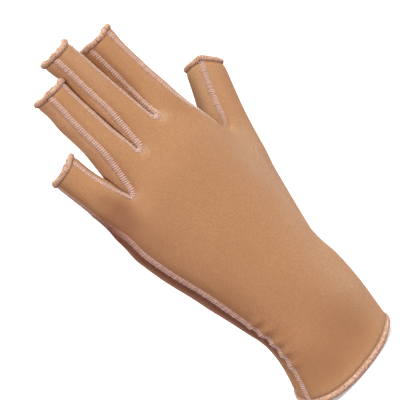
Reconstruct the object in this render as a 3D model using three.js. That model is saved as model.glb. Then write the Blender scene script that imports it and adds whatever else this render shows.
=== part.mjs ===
// Open-finger compression glove for a left hand, in the form it has when it is worn.
// Millimetres. +Z runs up the fingers, -Y faces out of the back of the hand, +X is the thumb side.
// The origin is the middle of the wrist opening.
import * as THREE from "three";

// Cloth and sewing
const WALL = 1.2; // knit cloth
const PANEL_GAP = 0.34; // between two cloth edges under a seam
const SEAM = { width: 2.6, height: 1.3, lift: 0.4 }; // raised overlock ridge
const HEM = { radius: 1.15, gap: 0.3, proud: 0.2, sides: 6 }; // rolled edge of an opening

// Smoothing draws a ring of eight points in, so a finger's ring starts this much larger.
const RING_SWELL = 1.09;

// One row per section of the hand, from the wrist up. Each ring is a rounded box: its two side
// edges, its back and palm faces, rise, how much higher the palm side of the ring lies, and lean,
// how much the ring climbs for each millimetre towards the thumb. seam and web are how many degrees
// round onto the back the side seam and the web seam's line lie from the two edges.
const HAND_SECTIONS = [
  { z: 0, ulnar: -27.5, radial: 28.5, back: -20.5, palm: 20.5, rise: 5, lean: 0, seam: 6, web: 0 },
  { z: 14, ulnar: -22.5, radial: 31, back: -19, palm: 19.5, rise: 3, lean: 0, seam: 8, web: 0 },
  { z: 29, ulnar: -20.5, radial: 33, back: -17.5, palm: 19.5, rise: 1, lean: 0, seam: 12, web: 0 },
  { z: 45, ulnar: -23.2, radial: 33.5, back: -16.5, palm: 19.5, rise: 0, lean: 0, seam: 16, web: 5 },
  { z: 66, ulnar: -28, radial: 35.5, back: -15.8, palm: 19.5, rise: 0, lean: 0.03, seam: 20, web: 18 },
  { z: 90, ulnar: -34, radial: 38, back: -15.5, palm: 18, rise: 0, lean: 0.09, seam: 21, web: 26 },
  { z: 110, ulnar: -36, radial: 38, back: -15.5, palm: 15.8, rise: 0, lean: 0.2, seam: 18, web: 26 },
  { z: 122, ulnar: -34.4, radial: 34.8, back: -14.4, palm: 14, rise: 0, lean: 0.28, seam: 13, web: 26 },
];
const HAND_SQUARENESS = 2.3; // 2 is an ellipse, more is boxier

// One row per finger, from the little finger to the index. base and tip are the middle of the
// finger where it leaves the hand and at its hem, and radii run from base to tip. angles places
// eight points round it in degrees from the middle of its back towards the thumb: 0 to 2 cross
// the back, 3 is the thumb side, 4 to 6 cross the palm and 7 is the ulnar side.
const FINGERS = [
  {
    name: "little", base: [-26.3, 1.5, 122], tip: [-29.2, 6, 150.8], radii: [7.9, 7.5, 7.1],
    angles: [-38, -6, 25, 83, 142, 188, 236, 294],
  },
  {
    name: "ring", base: [-11, -2, 131], tip: [-8.4, 3, 179.4], radii: [8.7, 8.1, 7.5],
    angles: [-25, 9, 43, 92, 142, 176, 210, 272],
  },
  {
    name: "middle", base: [6.6, -3, 139], tip: [7.1, 2, 189.2], radii: [8.2, 7.9, 7.5],
    angles: [-33, 7, 48, 94, 142, 179, 216, 271],
  },
  {
    name: "index", base: [25, -1, 141], tip: [26, 3, 180.3], radii: [8.7, 8.2, 7.9],
    angles: [-55, -25, 6, 37, 100, 157, 212, 259],
  },
];
const FINGER_ROWS = [0.28, 0.52, 0.76, 1]; // share of the way from base to tip
const FINGER_POINTS = 8;

// One row per crotch between neighbours: where the U of the back seam turns.
const CROTCHES = [
  { pair: ["little", "ring"], x: -18.9, y: 0.5, z: 123 },
  { pair: ["ring", "middle"], x: -1.9, y: -1.5, z: 135.6 },
  { pair: ["middle", "index"], x: 15, y: -1.5, z: 139.8 },
];
const CROTCH = { half: 2.2, back: -8.5, palm: 8.5, palmRise: 2, dip: 1.5 };

// One row per section of the thumb, from the web to its hem. turn is how far its seam faces round
// from the back of the hand towards the index finger, in degrees.
const THUMB_SECTIONS = [
  { centre: [44, 12.5, 107], along: [0.5, 0.1, 0.86], across: 11, depth: 11.8, turn: 20 },
  { centre: [52, 13.8, 120.5], along: [0.44, 0.1, 0.9], across: 9.3, depth: 9.8, turn: 28 },
  { centre: [60.5, 15.2, 136], along: [0.42, 0.08, 0.9], across: 8.3, depth: 8.6, turn: 32 },
];
const THUMB_ROOT = { share: 0.5, swell: 5 }; // of the way to its first section, and towards the palm
const THUMB_HOLE = { lowRow: 3, highRow: 6, columns: 4 }; // rows of HAND_SECTIONS it opens between

const CLOTH_COLOUR = new THREE.Color().setRGB(0.76, 0.555, 0.4, THREE.SRGBColorSpace);
const THREAD_COLOUR = new THREE.Color().setRGB(0.87, 0.725, 0.62, THREE.SRGBColorSpace);

const HAND_PANEL = "hand_panel"; // one piece of cloth for the back, the palm and the thumb

// The cage: named points, four-cornered faces that each belong to a panel, and the routes that
// seams and hems follow along its edges.
const cage = { points: [], faces: [], routes: {} };
const idOf = new Map();

function point(key, position) {
  idOf.set(key, cage.points.length);
  cage.points.push(position);
}

function face(panel, ...keys) {
  cage.faces.push({ panel, ids: keys.map((key) => idOf.get(key)) });
}

function route(name, keys, closed = false) {
  cage.routes[name] = { ids: keys.map((key) => idOf.get(key)), closed };
}

function fingerRow(finger, row) {
  const base = new THREE.Vector3(...finger.base);
  const tip = new THREE.Vector3(...finger.tip);
  const along = tip.clone().sub(base).normalize();
  const radial = new THREE.Vector3(1, 0, 0).addScaledVector(along, -along.x).normalize();
  const back = radial.clone().cross(along);
  const share = FINGER_ROWS[row - 1];
  const centre = base.clone().lerp(tip, share);
  const [atBase, atMiddle, atTip] = finger.radii;
  const radius = share < 0.5
    ? THREE.MathUtils.lerp(atBase, atMiddle, share * 2)
    : THREE.MathUtils.lerp(atMiddle, atTip, share * 2 - 1);
  finger.angles.forEach((degrees, corner) => {
    const angle = THREE.MathUtils.degToRad(degrees);
    const offset = back.clone().multiplyScalar(Math.cos(angle)).addScaledVector(radial, Math.sin(angle));
    point(`${finger.name}/${row}/${corner}`, centre.clone().addScaledVector(offset, radius * RING_SWELL));
  });
}

// Row 0 of a finger is the ring where it leaves the hand. Its corners beside a neighbour lie along
// the crotch between the two.
function fingerBase(finger, index) {
  const base = new THREE.Vector3(...finger.base);
  const ring = finger.angles.map((degrees) => {
    const angle = THREE.MathUtils.degToRad(degrees);
    const offset = new THREE.Vector3(Math.sin(angle), -Math.cos(angle), 0);
    return base.clone().addScaledVector(offset, finger.radii[0] * RING_SWELL);
  });
  const dropTo = (crotch, sign, backCorner, sideCorner, palmCorner) => {
    if (!crotch) return;
    const edge = new THREE.Vector3(crotch.x + sign * CROTCH.half, crotch.y, crotch.z);
    ring[backCorner] = edge.clone().add(new THREE.Vector3(0, CROTCH.back, 0));
    ring[sideCorner] = edge.clone().add(new THREE.Vector3(0, 0, CROTCH.dip));
    ring[palmCorner] = edge.clone().add(new THREE.Vector3(0, CROTCH.palm, CROTCH.palmRise));
  };
  dropTo(CROTCHES[index - 1], 1, 0, 7, 6);
  dropTo(CROTCHES[index], -1, 2, 3, 4);
  ring[1].z = (ring[0].z + ring[2].z) / 2;
  ring[5].z = (ring[4].z + ring[6].z) / 2;
  ring.forEach((position, corner) => point(`${finger.name}/0/${corner}`, position));
}

// The hand's columns in order round the ring, from the ulnar edge across the back to the thumb
// edge and back across the palm, each named by the corner of the finger above it.
const handColumns = [
  "little/7",
  ...FINGERS.flatMap(({ name }) => [0, 1, 2].map((corner) => `${name}/${corner}`)),
  "index/3",
  ...[...FINGERS].reverse().flatMap(({ name }) => [4, 5, 6].map((corner) => `${name}/${corner}`)),
];
const THUMB_EDGE = handColumns.indexOf("index/3");

function handRow(section, row) {
  const centreX = (section.ulnar + section.radial) / 2;
  const halfX = (section.radial - section.ulnar) / 2;
  const centreY = (section.back + section.palm) / 2;
  const halfY = (section.palm - section.back) / 2;
  const rounded = (value) => Math.sign(value) * Math.abs(value) ** (2 / HAND_SQUARENESS);
  const seamAt = THREE.MathUtils.degToRad(section.seam);
  const webAt = Math.PI - THREE.MathUtils.degToRad(section.web);
  handColumns.forEach((column, index) => {
    const angle = index <= THUMB_EDGE
      ? THREE.MathUtils.mapLinear(index, 0, THUMB_EDGE, seamAt, webAt)
      : THREE.MathUtils.mapLinear(index, THUMB_EDGE, handColumns.length, webAt, 2 * Math.PI + seamAt);
    const x = centreX - halfX * rounded(Math.cos(angle));
    const depth = -rounded(Math.sin(angle));
    const z = section.z + section.rise * depth + section.lean * x;
    point(`hand/${row}/${column}`, new THREE.Vector3(x, centreY + halfY * depth, z));
  });
}

const TOP_ROW = HAND_SECTIONS.length;
const handKey = (row, index) => {
  const column = handColumns[index % handColumns.length];
  const [finger, corner] = column.split("/");
  return row === TOP_ROW ? `${finger}/0/${corner}` : `hand/${row}/${column}`;
};

function buildHand() {
  HAND_SECTIONS.forEach(handRow);
  FINGERS.forEach(fingerBase);
  for (let row = 0; row < TOP_ROW; row += 1) {
    for (let index = 0; index < handColumns.length; index += 1) {
      const inHole = row >= THUMB_HOLE.lowRow && row < THUMB_HOLE.highRow
        && index >= THUMB_EDGE && index < THUMB_EDGE + THUMB_HOLE.columns;
      if (inHole) continue;
      const low = [handKey(row, index), handKey(row, index + 1)];
      const high = [handKey(row + 1, index + 1), handKey(row + 1, index)];
      face(HAND_PANEL, ...low, ...high);
    }
  }
}

// A gusset takes the two strips of a finger's side that face a neighbour. A strip has the number of
// the corner that it starts from.
const gussetName = (crotch) => `gusset_${crotch.pair.join("_")}`;
const RADIAL_STRIPS = [2, 3];
const ULNAR_STRIPS = [6, 7];

function stripPanel(fingerIndex, strip) {
  let crotch;
  if (RADIAL_STRIPS.includes(strip)) crotch = CROTCHES[fingerIndex];
  if (ULNAR_STRIPS.includes(strip)) crotch = CROTCHES[fingerIndex - 1];
  return crotch ? gussetName(crotch) : HAND_PANEL;
}

function buildFingers() {
  FINGERS.forEach((finger, fingerIndex) => {
    FINGER_ROWS.forEach((_, row) => {
      fingerRow(finger, row + 1);
      const key = (atRow, corner) => `${finger.name}/${atRow}/${corner % FINGER_POINTS}`;
      for (let strip = 0; strip < FINGER_POINTS; strip += 1) {
        const low = [key(row, strip), key(row, strip + 1)];
        const high = [key(row + 1, strip + 1), key(row + 1, strip)];
        face(stripPanel(fingerIndex, strip), ...low, ...high);
      }
    });
  });
  for (const crotch of CROTCHES) {
    const [ulnar, radial] = crotch.pair;
    const left = [2, 3, 4].map((corner) => `${ulnar}/0/${corner}`);
    const right = [0, 7, 6].map((corner) => `${radial}/0/${corner}`);
    for (const step of [0, 1]) {
      face(gussetName(crotch), left[step], right[step], right[step + 1], left[step + 1]);
    }
  }
}

// The points round the thumb's hole in the hand: from the web corner across the web to the palm,
// down the palm side, back along the low edge and up the thumb edge of the hand.
function thumbHoleKeys() {
  const { lowRow, highRow, columns } = THUMB_HOLE;
  const keys = [];
  for (let step = 0; step < columns; step += 1) keys.push(handKey(highRow, THUMB_EDGE + step));
  for (let row = highRow; row > lowRow; row -= 1) keys.push(handKey(row, THUMB_EDGE + columns));
  for (let step = columns; step > 0; step -= 1) keys.push(handKey(lowRow, THUMB_EDGE + step));
  for (let row = lowRow; row < highRow; row += 1) keys.push(handKey(row, THUMB_EDGE));
  return keys;
}

// A thumb's ring starts at its seam and turns towards the index finger, the palm and the outside.
const thumbAngle = (section, step, count) => THREE.MathUtils.degToRad(section.turn + (360 * step) / count);

function thumbRing(section, count) {
  const along = new THREE.Vector3(...section.along).normalize();
  const toBack = new THREE.Vector3(0, -1, 0).addScaledVector(along, along.y).normalize();
  const toIndex = toBack.clone().cross(along);
  return Array.from({ length: count }, (_, step) => {
    const angle = thumbAngle(section, step, count);
    return new THREE.Vector3(...section.centre)
      .addScaledVector(toBack, section.depth * Math.cos(angle))
      .addScaledVector(toIndex, section.across * Math.sin(angle));
  });
}

// The ring at the root of the thumb, part of the way from its hole to its first section.
function thumbRoot(hole, firstRing) {
  return hole.map((key, step) => {
    const toPalm = Math.max(0, -Math.cos(thumbAngle(THUMB_SECTIONS[0], step, hole.length)));
    const position = cage.points[idOf.get(key)].clone().lerp(firstRing[step], THUMB_ROOT.share);
    return position.setY(position.y + THUMB_ROOT.swell * toPalm);
  });
}

function buildThumb() {
  let below = thumbHoleKeys();
  const rings = THUMB_SECTIONS.map((section) => thumbRing(section, below.length));
  rings.unshift(thumbRoot(below, rings[0]));
  rings.forEach((ring, row) => {
    const above = ring.map((_, step) => `thumb/${row}/${step}`);
    ring.forEach((position, step) => point(above[step], position));
    above.forEach((key, step) => {
      const next = (step + 1) % above.length;
      face(HAND_PANEL, below[next], below[step], key, above[next]);
    });
    below = above;
  });
}

function buildRoutes() {
  const fingerLine = (name, corner) => [0, ...FINGER_ROWS].map((_, row) => `${name}/${row}/${corner}`);
  for (const crotch of CROTCHES) {
    const [ulnar, radial] = crotch.pair;
    const down = (name, corner) => fingerLine(name, corner).reverse();
    route(`seam_back_${ulnar}_${radial}`, [...down(ulnar, 2), ...fingerLine(radial, 0)]);
    route(`seam_palm_${ulnar}_${radial}`, [...down(ulnar, 4), ...fingerLine(radial, 6)]);
  }
  const handLine = (index, low) => HAND_SECTIONS.map((_, row) => handKey(row, index)).slice(low);
  route("seam_side", [...fingerLine("little", 7).reverse(), ...handLine(0, 0).reverse()]);
  route("seam_web", [
    ...fingerLine("index", 3).reverse(),
    ...handLine(THUMB_EDGE, THUMB_HOLE.highRow).reverse(),
    ...[0, ...THUMB_SECTIONS].map((_, row) => `thumb/${row}/0`),
  ]);
  for (const { name, angles } of FINGERS) {
    route(`hem_${name}`, angles.map((_, corner) => `${name}/${FINGER_ROWS.length}/${corner}`), true);
  }
  route("hem_thumb", thumbHoleKeys().map((_, step) => `thumb/${THUMB_SECTIONS.length}/${step}`), true);
  route("hem_wrist", handColumns.map((_, index) => handKey(0, index)), true);
}

const edgeKey = (a, b) => (a < b ? `${a}:${b}` : `${b}:${a}`);
const average = (vectors) => vectors
  .reduce((sum, vector) => sum.add(vector), new THREE.Vector3())
  .divideScalar(vectors.length);

// Pairs up neighbouring entries of a route, round to its start if it is closed.
function legs({ ids, closed }) {
  const pairs = ids.slice(1).map((id, index) => [ids[index], id]);
  if (closed) pairs.push([ids[ids.length - 1], ids[0]]);
  return pairs;
}

// One step of Catmull-Clark smoothing. Each face becomes four, and routes gain the new edge points.
function smooth({ points, faces, routes }) {
  const edges = new Map();
  const around = points.map(() => ({ faces: [], edges: [] }));
  const facePoints = faces.map(({ ids }) => average(ids.map((id) => points[id])));
  faces.forEach(({ ids }, number) => {
    ids.forEach((id, corner) => {
      const next = ids[(corner + 1) % ids.length];
      const key = edgeKey(id, next);
      if (!edges.has(key)) {
        edges.set(key, { ends: [id, next], faces: [] });
        around[id].edges.push(key);
        around[next].edges.push(key);
      }
      edges.get(key).faces.push(number);
      around[id].faces.push(number);
    });
  });
  const middle = (edge) => average(edge.ends.map((id) => points[id]));
  const isRim = (key) => edges.get(key).faces.length === 1;
  const moved = points.map((position, id) => {
    const rims = around[id].edges.filter(isRim).map((key) => middle(edges.get(key)));
    if (rims.length) return position.clone().add(average(rims)).divideScalar(2);
    const valence = around[id].edges.length;
    return position.clone().multiplyScalar(valence - 3)
      .add(average(around[id].faces.map((number) => facePoints[number])))
      .addScaledVector(average(around[id].edges.map((key) => middle(edges.get(key)))), 2)
      .divideScalar(valence);
  });
  const finer = { points: [...moved], faces: [], routes: {} };
  const add = (position) => finer.points.push(position) - 1;
  const faceIds = facePoints.map(add);
  const edgeIds = new Map([...edges].map(([key, edge]) => {
    const parts = isRim(key) ? [] : edge.faces.map((number) => facePoints[number]);
    return [key, add(average([...edge.ends.map((id) => points[id]), ...parts]))];
  }));
  faces.forEach(({ panel, ids }, number) => {
    ids.forEach((id, corner) => {
      const before = ids[(corner + ids.length - 1) % ids.length];
      const after = ids[(corner + 1) % ids.length];
      finer.faces.push({
        panel,
        ids: [id, edgeIds.get(edgeKey(id, after)), faceIds[number], edgeIds.get(edgeKey(before, id))],
      });
    });
  });
  for (const [name, line] of Object.entries(routes)) {
    const ids = legs(line).flatMap(([from, to]) => [from, edgeIds.get(edgeKey(from, to))]);
    if (!line.closed) ids.push(line.ids[line.ids.length - 1]);
    finer.routes[name] = { ids, closed: line.closed };
  }
  return finer;
}

// Outward unit normal at each point of a skin.
function normalsOf({ points, faces }) {
  const normals = points.map(() => new THREE.Vector3());
  for (const { ids } of faces) {
    const [a, b, c, d] = ids.map((id) => points[id]);
    const normal = c.clone().sub(a).cross(d.clone().sub(b));
    ids.forEach((id) => normals[id].add(normal));
  }
  return normals.map((normal) => normal.normalize());
}

// Gives each side of every seam its own corners, so that the skin falls apart into panels.
// Returns the corner numbers of each face and the skin point that each corner came from.
function cutAlongSeams({ points, faces, routes }) {
  const seams = new Set(Object.values(routes).filter(({ closed }) => !closed)
    .flatMap((line) => legs(line).map(([a, b]) => edgeKey(a, b))));
  const facesAt = points.map(() => []);
  faces.forEach(({ ids }, number) => ids.forEach((id) => facesAt[id].push(number)));
  const neighbours = (number, id) => {
    const { ids } = faces[number];
    const at = ids.indexOf(id);
    return [ids[(at + 1) % ids.length], ids[(at + ids.length - 1) % ids.length]];
  };
  const corners = faces.map(({ ids }) => ids.map(() => -1));
  const source = [];
  points.forEach((_, id) => {
    const waiting = new Set(facesAt[id]);
    while (waiting.size) {
      const fan = [waiting.values().next().value];
      waiting.delete(fan[0]);
      for (const number of fan) {
        const open = neighbours(number, id).filter((end) => !seams.has(edgeKey(id, end)));
        for (const other of [...waiting]) {
          if (neighbours(other, id).some((end) => open.includes(end))) {
            fan.push(other);
            waiting.delete(other);
          }
        }
      }
      fan.forEach((number) => { corners[number][faces[number].ids.indexOf(id)] = source.length; });
      source.push(id);
    }
  });
  return { corners, source };
}

function solid(positions, triangles) {
  const geometry = new THREE.BufferGeometry();
  const numbers = positions.flatMap((position) => position.toArray());
  geometry.setAttribute("position", new THREE.Float32BufferAttribute(numbers, 3));
  geometry.setIndex(triangles);
  geometry.computeVertexNormals();
  return geometry;
}

// One cloth panel: the skin's faces outside, the same faces a wall further in, and a rim between.
function panelSolid(skin, normals, cut, panel) {
  const quads = cut.corners.filter((_, number) => skin.faces[number].panel === panel);
  const rims = new Map();
  for (const quad of quads) {
    quad.forEach((a, corner) => {
      const b = quad[(corner + 1) % quad.length];
      const met = rims.delete(`${b}:${a}`);
      if (!met) rims.set(`${a}:${b}`, { a, b, inside: quad[(corner + 2) % quad.length] });
    });
  }
  const inward = new Map();
  for (const { a, b, inside } of rims.values()) {
    const [from, to, within] = [a, b, inside].map((corner) => skin.points[cut.source[corner]]);
    const edge = to.clone().sub(from).normalize();
    const step = within.clone().sub(to);
    step.addScaledVector(edge, -step.dot(edge)).normalize();
    for (const corner of [a, b]) inward.set(corner, (inward.get(corner) ?? new THREE.Vector3()).add(step));
  }
  const numbers = new Map();
  const outer = [];
  const inner = [];
  for (const corner of quads.flat()) {
    if (numbers.has(corner)) continue;
    numbers.set(corner, outer.length);
    const id = cut.source[corner];
    const position = skin.points[id].clone();
    if (inward.has(corner)) position.addScaledVector(inward.get(corner).normalize(), PANEL_GAP / 2);
    outer.push(position);
    inner.push(position.clone().addScaledVector(normals[id], -WALL));
  }
  const count = outer.length;
  const triangles = [];
  const quadrangle = (a, b, c, d) => triangles.push(a, b, c, a, c, d);
  for (const quad of quads) {
    const [a, b, c, d] = quad.map((corner) => numbers.get(corner));
    quadrangle(a, b, c, d);
    quadrangle(d + count, c + count, b + count, a + count);
  }
  for (const rim of rims.values()) {
    const [a, b] = [rim.a, rim.b].map((corner) => numbers.get(corner));
    quadrangle(b, a, a + count, b + count);
  }
  return solid([...outer, ...inner], triangles);
}

// Joins rings of points, each with as many points as the next, into a tube or a closed loop.
function sweep(rings, closed) {
  const sides = rings[0].length;
  const triangles = [];
  const steps = closed ? rings.length : rings.length - 1;
  for (let step = 0; step < steps; step += 1) {
    const here = step * sides;
    const there = ((step + 1) % rings.length) * sides;
    for (let side = 0; side < sides; side += 1) {
      const next = (side + 1) % sides;
      triangles.push(here + side, here + next, there + next, here + side, there + next, there + side);
    }
  }
  if (!closed) {
    const last = (rings.length - 1) * sides;
    for (let side = 1; side < sides - 1; side += 1) {
      triangles.push(0, side + 1, side, last, last + side, last + side + 1);
    }
  }
  return solid(rings.flat(), triangles);
}

function tangentAt({ ids, closed }, step, points) {
  const wrap = (index) => (closed
    ? (index + ids.length) % ids.length
    : THREE.MathUtils.clamp(index, 0, ids.length - 1));
  return points[ids[wrap(step + 1)]].clone().sub(points[ids[wrap(step - 1)]]).normalize();
}

// A raised ridge that lies on the skin along a route: shares of its width and height per corner.
const SEAM_PROFILE = [
  { across: -0.5, up: 0 },
  { across: -0.45, up: 0.6 },
  { across: -0.2, up: 1 },
  { across: 0.2, up: 1 },
  { across: 0.45, up: 0.6 },
  { across: 0.5, up: 0 },
];

function seamSolid(skin, normals, line) {
  const rings = line.ids.map((id, step) => {
    const along = tangentAt(line, step, skin.points);
    const up = normals[id].clone().addScaledVector(along, -normals[id].dot(along)).normalize();
    const across = along.clone().cross(up);
    return SEAM_PROFILE.map((corner) => skin.points[id].clone()
      .addScaledVector(across, corner.across * SEAM.width)
      .addScaledVector(up, SEAM.lift + corner.up * SEAM.height));
  });
  return sweep(rings, false);
}

// A rolled hem: a round ring just past the edge of an opening.
function hemSolid(skin, normals, line) {
  const offEdge = new Map();
  for (const { ids } of skin.faces) {
    ids.forEach((id, corner) => {
      if (!line.ids.includes(id)) return;
      const beside = [ids[(corner + 1) % ids.length], ids[(corner + ids.length - 1) % ids.length]];
      const inside = beside.find((other) => !line.ids.includes(other));
      const step = skin.points[id].clone().sub(skin.points[inside]).normalize();
      offEdge.set(id, (offEdge.get(id) ?? new THREE.Vector3()).add(step));
    });
  }
  const rings = line.ids.map((id, step) => {
    const along = tangentAt(line, step, skin.points);
    const out = normals[id].clone().addScaledVector(along, -normals[id].dot(along)).normalize();
    const off = along.clone().cross(out);
    if (off.dot(offEdge.get(id)) < 0) off.negate();
    const centre = skin.points[id].clone()
      .addScaledVector(off, HEM.radius + HEM.gap - PANEL_GAP / 2)
      .addScaledVector(out, HEM.proud - WALL / 2);
    const turn = Math.sign(along.dot(out.clone().cross(off)));
    return Array.from({ length: HEM.sides }, (_, side) => {
      const angle = (turn * 2 * Math.PI * side) / HEM.sides;
      return centre.clone()
        .addScaledVector(out, HEM.radius * Math.cos(angle))
        .addScaledVector(off, HEM.radius * Math.sin(angle));
    });
  });
  return sweep(rings, true);
}

buildHand();
buildFingers();
buildThumb();
buildRoutes();
const skin = smooth(cage);
const normals = normalsOf(skin);
const cut = cutAlongSeams(skin);

const cloth = new THREE.MeshStandardMaterial({ color: CLOTH_COLOUR, roughness: 0.85, metalness: 0 });
const thread = new THREE.MeshStandardMaterial({ color: THREAD_COLOUR, roughness: 0.75, metalness: 0 });

const glove = new THREE.Group();
function addPiece(name, geometry, material) {
  const mesh = new THREE.Mesh(geometry, material);
  mesh.name = name;
  glove.add(mesh);
}

for (const panel of [HAND_PANEL, ...CROTCHES.map(gussetName)]) {
  addPiece(panel, panelSolid(skin, normals, cut, panel), cloth);
}
for (const [name, line] of Object.entries(skin.routes)) {
  addPiece(name, line.closed ? hemSolid(skin, normals, line) : seamSolid(skin, normals, line), thread);
}

export default glove;
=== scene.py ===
"""Open-finger compression glove: the sewn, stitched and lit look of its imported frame.

The frame gives the cloth's place. The outer skins of its cloth nodes are welded into one worn skin,
smoothed, drawn in at the seams and cut again into panels. Seams and hems are swept along the lines
where those panels meet, with their overlock thread stitched over them as geometry.
"""

import math
import random

import bmesh
import bpy
import numpy as np
from bpy.props import FloatProperty, FloatVectorProperty, IntProperty, PointerProperty
from bpy.types import Operator, Panel, PropertyGroup
from mathutils import Matrix, Vector
from mathutils.bvhtree import BVHTree
from mathutils.kdtree import KDTree


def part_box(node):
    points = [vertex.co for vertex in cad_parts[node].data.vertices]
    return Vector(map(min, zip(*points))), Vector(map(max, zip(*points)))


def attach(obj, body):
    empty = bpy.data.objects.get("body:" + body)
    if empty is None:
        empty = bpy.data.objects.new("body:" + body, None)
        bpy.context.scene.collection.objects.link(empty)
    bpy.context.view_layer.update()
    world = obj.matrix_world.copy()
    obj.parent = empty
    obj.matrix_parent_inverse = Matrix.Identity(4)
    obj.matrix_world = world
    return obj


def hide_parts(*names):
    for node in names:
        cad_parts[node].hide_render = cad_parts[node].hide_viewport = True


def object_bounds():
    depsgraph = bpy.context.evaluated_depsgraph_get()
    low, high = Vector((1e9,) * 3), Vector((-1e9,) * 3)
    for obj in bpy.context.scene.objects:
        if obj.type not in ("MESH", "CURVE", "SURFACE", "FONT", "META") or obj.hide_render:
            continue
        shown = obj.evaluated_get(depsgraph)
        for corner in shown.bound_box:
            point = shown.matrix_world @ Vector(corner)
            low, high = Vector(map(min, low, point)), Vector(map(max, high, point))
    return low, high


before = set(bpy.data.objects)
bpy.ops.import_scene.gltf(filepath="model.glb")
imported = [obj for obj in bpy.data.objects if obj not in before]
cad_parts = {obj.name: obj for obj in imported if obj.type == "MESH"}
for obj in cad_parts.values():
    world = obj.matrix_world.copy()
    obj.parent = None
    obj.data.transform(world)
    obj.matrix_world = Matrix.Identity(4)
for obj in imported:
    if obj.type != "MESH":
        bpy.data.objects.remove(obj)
CAD_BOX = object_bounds()

bl_info = {
    "name": "Compression glove",
    "version": (1, 0, 0),
    "blender": (4, 5, 0),
    "location": "3D View > Sidebar > Glove",
    "description": "Builds the knit panels, overlock seams and rolled hems of a compression glove",
    "category": "Mesh",
}

MM = 0.001
BODY = "root"
HAND = "hand_panel"
NODES = sorted(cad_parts)
GUSSETS = [name for name in NODES if name.startswith("gusset_")]
SEAMS = [name for name in NODES if name.startswith("seam_")]
HEMS = [name for name in NODES if name.startswith("hem_")]
PANELS = [HAND, *GUSSETS]
ROUTES = [*SEAMS, *HEMS]

FLAT_MAP = "flat_pattern"  # UV map: the cloth laid flat, in metres
ROUTE_LAYER = "route"  # edge layer: 1 and up for the lines of ROUTES
STRETCH_AND_HIGHLIGHT = "strain"  # vertex attribute: 1 where the knit is paler, from stretch and from painted highlight
PAINTED_SHADE = "slack"  # vertex attribute: 1 where shade is painted into the knit
PAINTED_LIGHT = "paler"  # vertex attribute: 1 where light is painted into the knit's shade

MERGE = 0.01 * MM  # corners of neighbouring triangles
WELD = 0.5 * MM  # edges of neighbouring panels
RIM_SLACK = 0.003 * MM  # how near the wall's thickness the frame's rim edges are
QUAD_BEND = math.radians(50)  # the most that the two triangles of a quad may bend
QUAD_SKEW = math.radians(80)  # the most that a quad's corners may differ from square
HOLD_ROUNDS = 3  # how often the smoothed skin is drawn back to the frame's vertices


def from_srgb(red, green, blue):
    """A screen colour, 0 to 255 each, as the linear colour that shaders take."""
    shares = [value / 255 for value in (red, green, blue)]
    return [s / 12.92 if s <= 0.04045 else ((s + 0.055) / 1.055) ** 2.4 for s in shares]


def length(name, description, default):
    return FloatProperty(
        name=name, description=description, default=default, min=0, unit="LENGTH", precision=5
    )


def share(name, description, default):
    return FloatProperty(name=name, description=description, default=default, min=0)


def angle(name, description, degrees):
    return FloatProperty(
        name=name, description=description, default=math.radians(degrees), subtype="ANGLE"
    )


def colour(name, description, red, green, blue):
    return FloatVectorProperty(
        name=name, description=description, default=from_srgb(red, green, blue),
        min=0, max=1, subtype="COLOR",
    )


class GloveCloth(PropertyGroup):
    """Sizes and colours of the knit."""

    wall: length("Wall", "Thickness of the knit, as in the frame", 1.2 * MM)
    smoothing: IntProperty(
        name="Smoothing", description="Subdivision steps over the frame's skin", default=2, min=1, max=3
    )
    seam_dip: length("Seam dip", "How far the stitches draw the cloth in along a seam", 0.24 * MM)
    seam_dip_reach: length("Seam dip reach", "How far from a seam that dip spreads", 1.9 * MM)
    pillow: length("Pillow", "How far the cloth swells beside a seam", 0.22 * MM)
    pillow_at: length("Pillow at", "Where that swell is highest, from the seam", 4.2 * MM)
    fullness: length("Fullness", "How far a strip swells on the ulnar side of a finger", 1.8 * MM)
    thumbward: length("Thumbward fullness", "How far it swells on the thumb side of a finger", 0.5 * MM)
    gather: length("Gather", "Height of the gathers along the side seam near the wrist", 0.9 * MM)
    gather_width: length("Gather width", "Half the length of one gather along the seam", 2.0 * MM)
    gather_reach: length("Gather reach", "How far the gathers run out from the seam", 5 * MM)
    edge_gap: length("Edge gap", "How far a cut edge stays from the middle of its seam", 0.12 * MM)
    hem_lap: length("Hem lap", "How far the cloth runs under its hem", 0.35 * MM)
    hem_dip: length("Hem dip", "How far the stitches draw the cloth in along a hem", 0.34 * MM)
    hem_dip_reach: length("Hem dip reach", "How far from a hem that dip spreads", 1.0 * MM)
    rib_pitch: length("Rib pitch", "From one rib of the knit to the next", 1.05 * MM)
    loop_pitch: length("Loop pitch", "From one loop to the next along a rib", 0.8 * MM)
    rib_angle: angle("Rib angle", "Lean of the ribs from the length of the hand", 17)
    colour: colour("Knit", "Colour of the knit", 171, 139, 95)
    pale: colour("Knit high", "Colour of the paler knit", 177, 145, 101)
    deep: colour("Knit low", "Colour between the ribs", 152, 113, 76)
    # painted light: the palest colour, laid into shaded strips between the fingers and beside the
    # gathers
    between: colour("Knit between", "Colour of the palest knit", 230, 190, 138)
    # paler colour of stretched knit, also laid as painted highlight where light falls
    stretch_and_highlight_tone: colour("Knit strained", "Colour of the knit where it is stretched most", 192, 178, 147)
    # painted shade: the dark colour laid into creases, finger contacts and both sides of the side seam
    slack: colour("Knit slack", "Colour of the knit where nothing stretches it", 90, 50, 38)


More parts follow.
